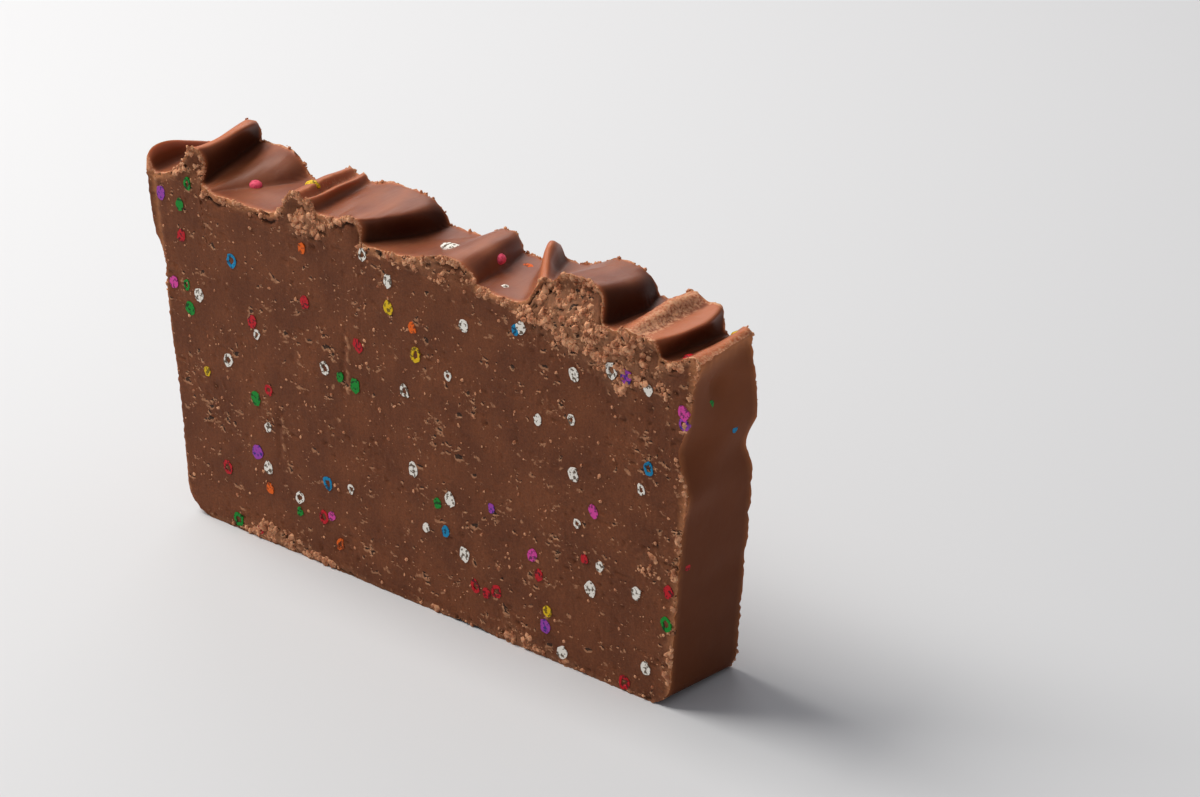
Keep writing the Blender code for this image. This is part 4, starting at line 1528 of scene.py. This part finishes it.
@dataclass
class Sprinkles:
    """The candy sprinkles: cracked shells with hollow cores in the cut faces, whole ones in the skin."""

    body: FudgeBody
    radius_along: float = 1.05 * MM
    radius_up: float = 1.32 * MM
    grown: tuple[float, float] = (0.72, 1.18)
    sides: int = 14
    inner_share: float = 0.8
    depth: float = 1.1 * MM
    proud: float = 0.12 * MM
    flush: float = 0.03 * MM
    under_skin: float = 0.62
    shell: float = 0.46
    hollow_rim: float = 0.14
    hollow_depth: float = 0.40 * MM
    hollow_share: float = 0.35
    off_centre: float = 0.22
    uneven: float = 0.32
    uneven_rate: float = 1.4
    # How far apart the noise of one sprinkle lies from that of the next, per metre between them.
    own_noise: float = 900.0
    turned: float = 0.3
    whole_radius: float = 1.35 * MM
    whole_flatness: float = 0.8
    back_count: int = 64
    back_highest: float = 0.0645
    spacing: float = 6.4 * MM
    edge_gap: float = 3.4 * MM
    tries: int = 5000
    sharp_angle: float = math.radians(40)
    seed: int = 41

    def cut_one(self, middle: Vector, side: Side, draw: random.Random) -> bmesh.types.BMesh:
        """Makes one sprinkle that shows in a side: a short drum, at times with a hollow core where it was cut.

        Args:
            middle: the point of the surface at its middle.
            side: the side in which it shows.
            draw: the seeded draw for its size and lean.

        Returns:
            Its shape.
        """
        shape = bmesh.new()
        layer = shape.verts.layers.float.new("hollow")
        outward = Vector(side.value)
        cut = side in (Side.FRONT_CUT, Side.BACK_CUT)
        grown = draw.uniform(*self.grown) if cut else self.under_skin
        turn = Vector((0.0, 0.0, 1.0)).rotation_difference(outward).to_matrix().to_4x4()
        bmesh.ops.create_cone(
            shape, cap_ends=True, segments=self.sides, radius1=self.inner_share, radius2=1.0, depth=1.0
        )
        for vertex in shape.verts:
            spot = Vector((vertex.co.x, vertex.co.y, 0.0)) * self.uneven_rate + middle * self.own_noise
            vertex.co.xy *= 1.0 + self.uneven * noise.noise(spot)
        if cut and draw.random() < self.hollow_share:
            cap = max(shape.faces, key=lambda f: f.normal.z)
            for width in (self.shell, self.hollow_rim):
                bmesh.ops.inset_individual(shape, faces=[cap], thickness=width, use_even_offset=False)
            moved = Vector((draw.uniform(-1.0, 1.0), draw.uniform(-1.0, 1.0), 0.0)) * self.off_centre
            for vertex in cap.verts:
                vertex.co += moved
                vertex.co.z -= self.hollow_depth / self.depth
                vertex[layer] = 1.0
        scale = Matrix.Diagonal((self.radius_along * grown, self.radius_up * grown, self.depth, 1.0))
        upright = 0.0 if cut else math.pi / 2
        spin = Matrix.Rotation(upright + draw.uniform(-self.turned, self.turned), 4, "Z")
        stand = middle + outward * ((self.proud if cut else self.flush) - self.depth / 2)
        matrix = Matrix.Translation(stand) @ turn @ spin @ scale
        bmesh.ops.transform(shape, matrix=matrix, verts=shape.verts)
        return shape

    def whole_one(self, place: float, share: float, proud: float, stretch: float) -> bmesh.types.BMesh:
        """Makes one whole sprinkle that lies in the skin of the top.

        Args:
            place: its place along the slice.
            share: its share of the thickness.
            proud: how far it stands out of the skin.
            stretch: how many times longer than wide it is.

        Returns:
            Its shape.
        """
        shape = bmesh.new()
        shape.verts.layers.float.new("hollow")
        form = self.body.form
        height = self.body.top_height(place, share)
        front = form.front_cut(place, height)
        across = front + share * (form.back_cut(place, height) - front)
        bmesh.ops.create_icosphere(shape, subdivisions=2, radius=1.0)
        radius, high = self.whole_radius, self.whole_radius * self.whole_flatness
        size = Matrix.Diagonal((radius * stretch, radius, high, 1.0))
        middle = Vector((place, across, height + proud - high)) - CENTRE
        bmesh.ops.transform(shape, matrix=Matrix.Translation(middle) @ size, verts=shape.verts)
        return shape

    def spots_behind(self, draw: random.Random) -> list[tuple[float, float]]:
        """Spreads the sprinkles evenly over the back cut.

        Args:
            draw: the seeded draw.

        Returns:
            Their places and heights.
        """
        form = self.body.form
        chosen: list[tuple[float, float]] = []
        for _ in range(self.tries):
            height = draw.uniform(self.edge_gap, self.back_highest)
            low, high = form.left_wall(height) + self.edge_gap, form.right_wall(height) - self.edge_gap
            spot = (draw.uniform(low, high), height)
            if all(math.dist(spot, other) > self.spacing for other in chosen):
                chosen.append(spot)
            if len(chosen) == self.back_count:
                break
        return chosen

    def in_end(self, side: Side, share: float, height: float, draw: random.Random) -> bmesh.types.BMesh:
        """Makes one sprinkle that shows in a pan-moulded end.

        Args:
            side: the end.
            share: its share of the thickness.
            height: its height.
            draw: the seeded draw.

        Returns:
            Its shape.
        """
        form = self.body.form
        wall = form.right_wall(height) if side is Side.RIGHT_END else form.left_wall(height)
        place = wall + form.end_relief(wall, height, share)
        middle = Vector((place, share * form.back_cut(place, height), height)) - CENTRE
        return self.cut_one(middle, side, draw)

    def shapes(self) -> dict[Candy, list[bmesh.types.BMesh]]:
        """Makes every sprinkle.

        Returns:
            The shapes of each colour.
        """
        draw = random.Random(self.seed)
        form = self.body.form
        made: dict[Candy, list[bmesh.types.BMesh]] = {candy: [] for candy in Candy}
        for candy, spots in FRONT_SPRINKLES.items():
            for place, height in spots:
                front = form.front_cut(place * MM, height * MM)
                middle = Vector((place * MM, front, height * MM)) - CENTRE
                made[candy].append(self.cut_one(middle, Side.FRONT_CUT, draw))
        colours = [candy for candy, spots in FRONT_SPRINKLES.items() for _ in spots]
        for place, height in self.spots_behind(draw):
            middle = Vector((place, form.back_cut(place, height), height)) - CENTRE
            made[draw.choice(colours)].append(self.cut_one(middle, Side.BACK_CUT, draw))
        for candy, spots in RIGHT_SPRINKLES.items():
            for share, height in spots:
                made[candy].append(self.in_end(Side.RIGHT_END, share, height * MM, draw))
        for candy, height in LEFT_SPRINKLES.items():
            made[candy].append(self.in_end(Side.LEFT_END, draw.uniform(*LEFT_SHARES), height * MM, draw))
        for candy, spots in TOP_SPRINKLES.items():
            for place, share, proud, stretch in spots:
                made[candy].append(self.whole_one(place * MM, share, proud * MM, stretch))
        return made

    def build(self) -> list[bpy.types.Object]:
        """Builds the sprinkles, one piece for each colour.

        Returns:
            The pieces.
        """
        pieces = []
        for candy, parts in self.shapes().items():
            shape = joined(parts)
            for face in shape.faces:
                face.smooth = True
            piece = link_mesh(shape, f"sprinkles_{candy.name.lower()}", [candy.value.build()])
            piece.data.set_sharp_from_angle(angle=self.sharp_angle)
            pieces.append(piece)
        return pieces


@dataclass
class ClingingCrumbs:
    """Crumbs that cling to the cut faces where they broke, and along the edges of the skin."""

    body: FudgeBody
    count_front: int = 4700
    count_back: int = 1200
    smallest: float = 0.11 * MM
    largest: float = 0.74 * MM
    rareness: float = 3.2
    clump: float = 2.4 * MM
    clump_spread: tuple[float, float] = (-0.20, 0.35)
    quiet_share: float = 0.007
    quiet_size: float = 0.45
    finer_at_edge: float = 0.45
    off_crust: float = 0.4
    sunk: float = 0.60
    uneven: float = 0.30
    long: tuple[float, float] = (0.8, 1.5)
    flatness: float = 0.8
    least_crumble: float = 0.45
    widest_at: float = 0.068
    lowest: float = 0.4 * MM
    past_top: float = 0.1 * MM
    end_gap: float = 0.2 * MM
    corner_gap: float = 0.3 * MM
    off_floor: float = 0.9
    handful: int = 40
    seed: int = 97

    def add_crumb(self, shape: bmesh.types.BMesh, middle: Vector, radius: float, draw: random.Random) -> None:
        """Adds one angular crumb.

        Args:
            shape: the shape that takes it.
            middle: its middle, in the row frame.
            radius: its mean radius.
            draw: the seeded draw for its proportions.
        """
        made = bmesh.ops.create_icosphere(shape, subdivisions=1, radius=1.0)
        for vertex in made["verts"]:
            vertex.co *= 1.0 + draw.uniform(-self.uneven, self.uneven)
        size = Matrix.Diagonal((radius * draw.uniform(*self.long), radius * self.flatness, radius, 1.0))
        turn = Matrix.Rotation(draw.uniform(0.0, math.pi), 4, "Y")
        bmesh.ops.transform(shape, matrix=Matrix.Translation(middle) @ turn @ size, verts=made["verts"])

    def tried(self, side: Side, draw: random.Random) -> tuple[Vector, float] | None:
        """Tries one spot of a cut face, where a crumb clings if the face is crumbly enough.

        Args:
            side: the cut face.
            draw: the seeded draw for the spot.

        Returns:
            The crumb's middle in the row frame and its radius, or None.
        """
        form = self.body.form
        relief = self.body.reliefs[side]
        share = 0.0 if side is Side.FRONT_CUT else 1.0
        place = draw.uniform(form.left_wall(self.widest_at), form.right_wall(self.widest_at))
        top = self.body.top_height(place, share)
        height = draw.uniform(self.lowest, top + self.past_top)
        if not form.left_wall(height) + self.end_gap < place < form.right_wall(height) - self.end_gap:
            return None
        _, crumble, crust = relief.rise(place, height, top)
        clump = relief.patches(place, height, self.clump)
        quiet = crumble < self.least_crumble
        chance = self.quiet_share if quiet else crumble**2 * (self.off_crust + (1.0 - self.off_crust) * crust)
        if draw.random() > chance * ramp(clump, *self.clump_spread):
            return None
        place, low = form.round_base(place, height, share)
        if abs(low - height) > self.corner_gap:
            return None
        place += form.end_relief(place, height, share)
        most = self.quiet_size if quiet else 1.0 - self.finer_at_edge * crust
        grown = draw.random() ** self.rareness * most
        radius = self.smallest + (self.largest - self.smallest) * grown
        middle = self.body.surface(side, place, height) + Vector(side.value) * radius * (0.5 - self.sunk)
        middle.z = max(middle.z, radius * self.off_floor)
        return middle, radius

    def scatter(self, side: Side, count: int, draw: random.Random) -> Iterable[bmesh.types.BMesh]:
        """Scatters crumbs where a cut face is crumbly.

        Args:
            side: the cut face.
            count: how many crumbs.
            draw: the seeded draw for their places.

        Yields:
            The crumbs by the handful.
        """
        shape = bmesh.new()
        placed = 0
        while placed < count:
            crumb = self.tried(side, draw)
            if crumb is None:
                continue
            self.add_crumb(shape, *crumb, draw)
            placed += 1
            if placed % self.handful == 0:
                yield shape
                shape = bmesh.new()
        yield shape

    def build(self, material: bpy.types.Material) -> bpy.types.Object:
        """Builds all the crumbs as one piece.

        Args:
            material: the crumbs' finish.

        Returns:
            The piece.
        """
        draw = random.Random(self.seed)
        front = self.scatter(Side.FRONT_CUT, self.count_front, draw)
        back = self.scatter(Side.BACK_CUT, self.count_back, draw)
        return link_mesh(joined(itertools.chain(front, back)), "clinging_crumbs", [material])


@dataclass(frozen=True)
class PaperFloor(Finish):
    """Matt white paper sweep: pale and shadowed softly, with no pattern."""

    name: str = "matt_white_paper_sweep"
    roughness: float = 0.9
    specular: float = 0.5
    colour: str = "d8d9dc"

    def build(self) -> bpy.types.Material:
        """Builds the floor's material.

        Returns:
            The material.
        """
        material, tree, shader = self.start()
        fill(tree, shader, {"Base Color": linear(self.colour)})
        return material


class Lamp(NamedTuple):
    """A soft square light that is aimed at the slice. Its power is in watts."""

    name: str
    place: tuple[float, float, float]
    size: float
    power: float
    tint: str


@dataclass
class Studio:
    """The pale floor, the soft lights and the camera."""

    floor_half: float = 2.0
    lamps: tuple[Lamp, ...] = (
        Lamp("window_left", (-0.56, -0.14, 0.80), size=0.6, power=10.5, tint="fffcf6"),
        Lamp("wall_behind_left", (-0.55, 0.62, 0.55), size=0.5, power=1.3, tint="fbf6f4"),
    )
    lit_middle: tuple[float, float, float] = (0.0, 0.0, 0.05)
    surround: str = "f3f5fa"
    surround_strength: float = 0.29
    azimuth: float = math.radians(40.683)
    elevation: float = math.radians(25.253)
    distance: float = 0.68613
    aim: Vector = field(default_factory=lambda: Vector((0.044815, 0.0, 0.055395)) - CENTRE)
    lens: float = 120.0
    sensor: float = 36.0

    def lay_floor(self) -> None:
        shape = bmesh.new()
        bmesh.ops.create_grid(shape, x_segments=1, y_segments=1, size=self.floor_half)
        floor = link_mesh(shape, "floor", [PaperFloor().build()])

    def hang(self, lamp: Lamp) -> None:
        """Hangs a light and aims it.

        Args:
            lamp: what the light is.
        """
        data = bpy.data.lights.new(lamp.name, "AREA")
        data.shape = "SQUARE"
        data.size = lamp.size
        data.energy = lamp.power
        data.color = linear(lamp.tint)[:3]
        holder = bpy.data.objects.new(lamp.name, data)
        holder.location = lamp.place
        aimed = Vector(self.lit_middle) - Vector(lamp.place)
        holder.rotation_euler = aimed.to_track_quat("-Z", "Y").to_euler()
        bpy.context.scene.collection.objects.link(holder)

    def light(self) -> None:
        """Lights the slice softly from the left, with a paler sheen from behind."""
        world = bpy.data.worlds.new("soft_white_surround")
        world.use_nodes = True
        background = world.node_tree.nodes["Background"]
        fill(world.node_tree, background, {"Color": linear(self.surround), "Strength": self.surround_strength})
        bpy.context.scene.world = world
        for lamp in self.lamps:
            self.hang(lamp)

    def add_camera(self) -> None:
        """Adds the camera at the photograph's viewing angle."""
        a, e = self.azimuth, self.elevation
        back = Vector((math.sin(a) * math.cos(e), -math.cos(a) * math.cos(e), math.sin(e)))
        right = Vector((math.cos(a), math.sin(a), 0.0))
        up = back.cross(right)
        data = bpy.data.cameras.new("camera")
        data.lens = self.lens
        data.sensor_width = self.sensor
        camera = bpy.data.objects.new("camera", data)
        turned = Matrix((right, up, back)).transposed().to_4x4()
        camera.matrix_world = Matrix.Translation(self.aim + back * self.distance) @ turned
        bpy.context.scene.collection.objects.link(camera)
        bpy.context.scene.camera = camera

    def build(self) -> None:
        """Builds the whole studio."""
        self.lay_floor()
        self.light()
        self.add_camera()
        bpy.context.scene.view_settings.view_transform = "Standard"


def main() -> None:
    """Builds the slice and its studio over the CAD frame."""
    logging.basicConfig(level=logging.INFO, format="%(message)s")
    noise.seed_set(NOISE_SEED)
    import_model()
    Studio().build()
    body = FudgeBody(SliceForm())
    cut, skin, moulded = CutFudge().build(), SetSkin().build(), PanMoulded().build()
    finishes = {
        Side.FRONT_CUT: cut,
        Side.BACK_CUT: cut,
        Side.TOP: skin,
        Side.LEFT_END: moulded,
        Side.RIGHT_END: moulded,
        Side.BASE: moulded,
    }
    slice_piece = body.build(finishes)
    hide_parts(NODE)
    crumbs = ClingingCrumbs(body).build(Crumbs().build())
    pieces = [slice_piece, crumbs, *Sprinkles(body).build()]
    for piece in pieces:
        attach(piece, BODY)
        log.info("%s: %d faces", piece.name, len(piece.data.polygons))
    bpy.context.view_layer.update()


if __name__ == "__main__":
    main()
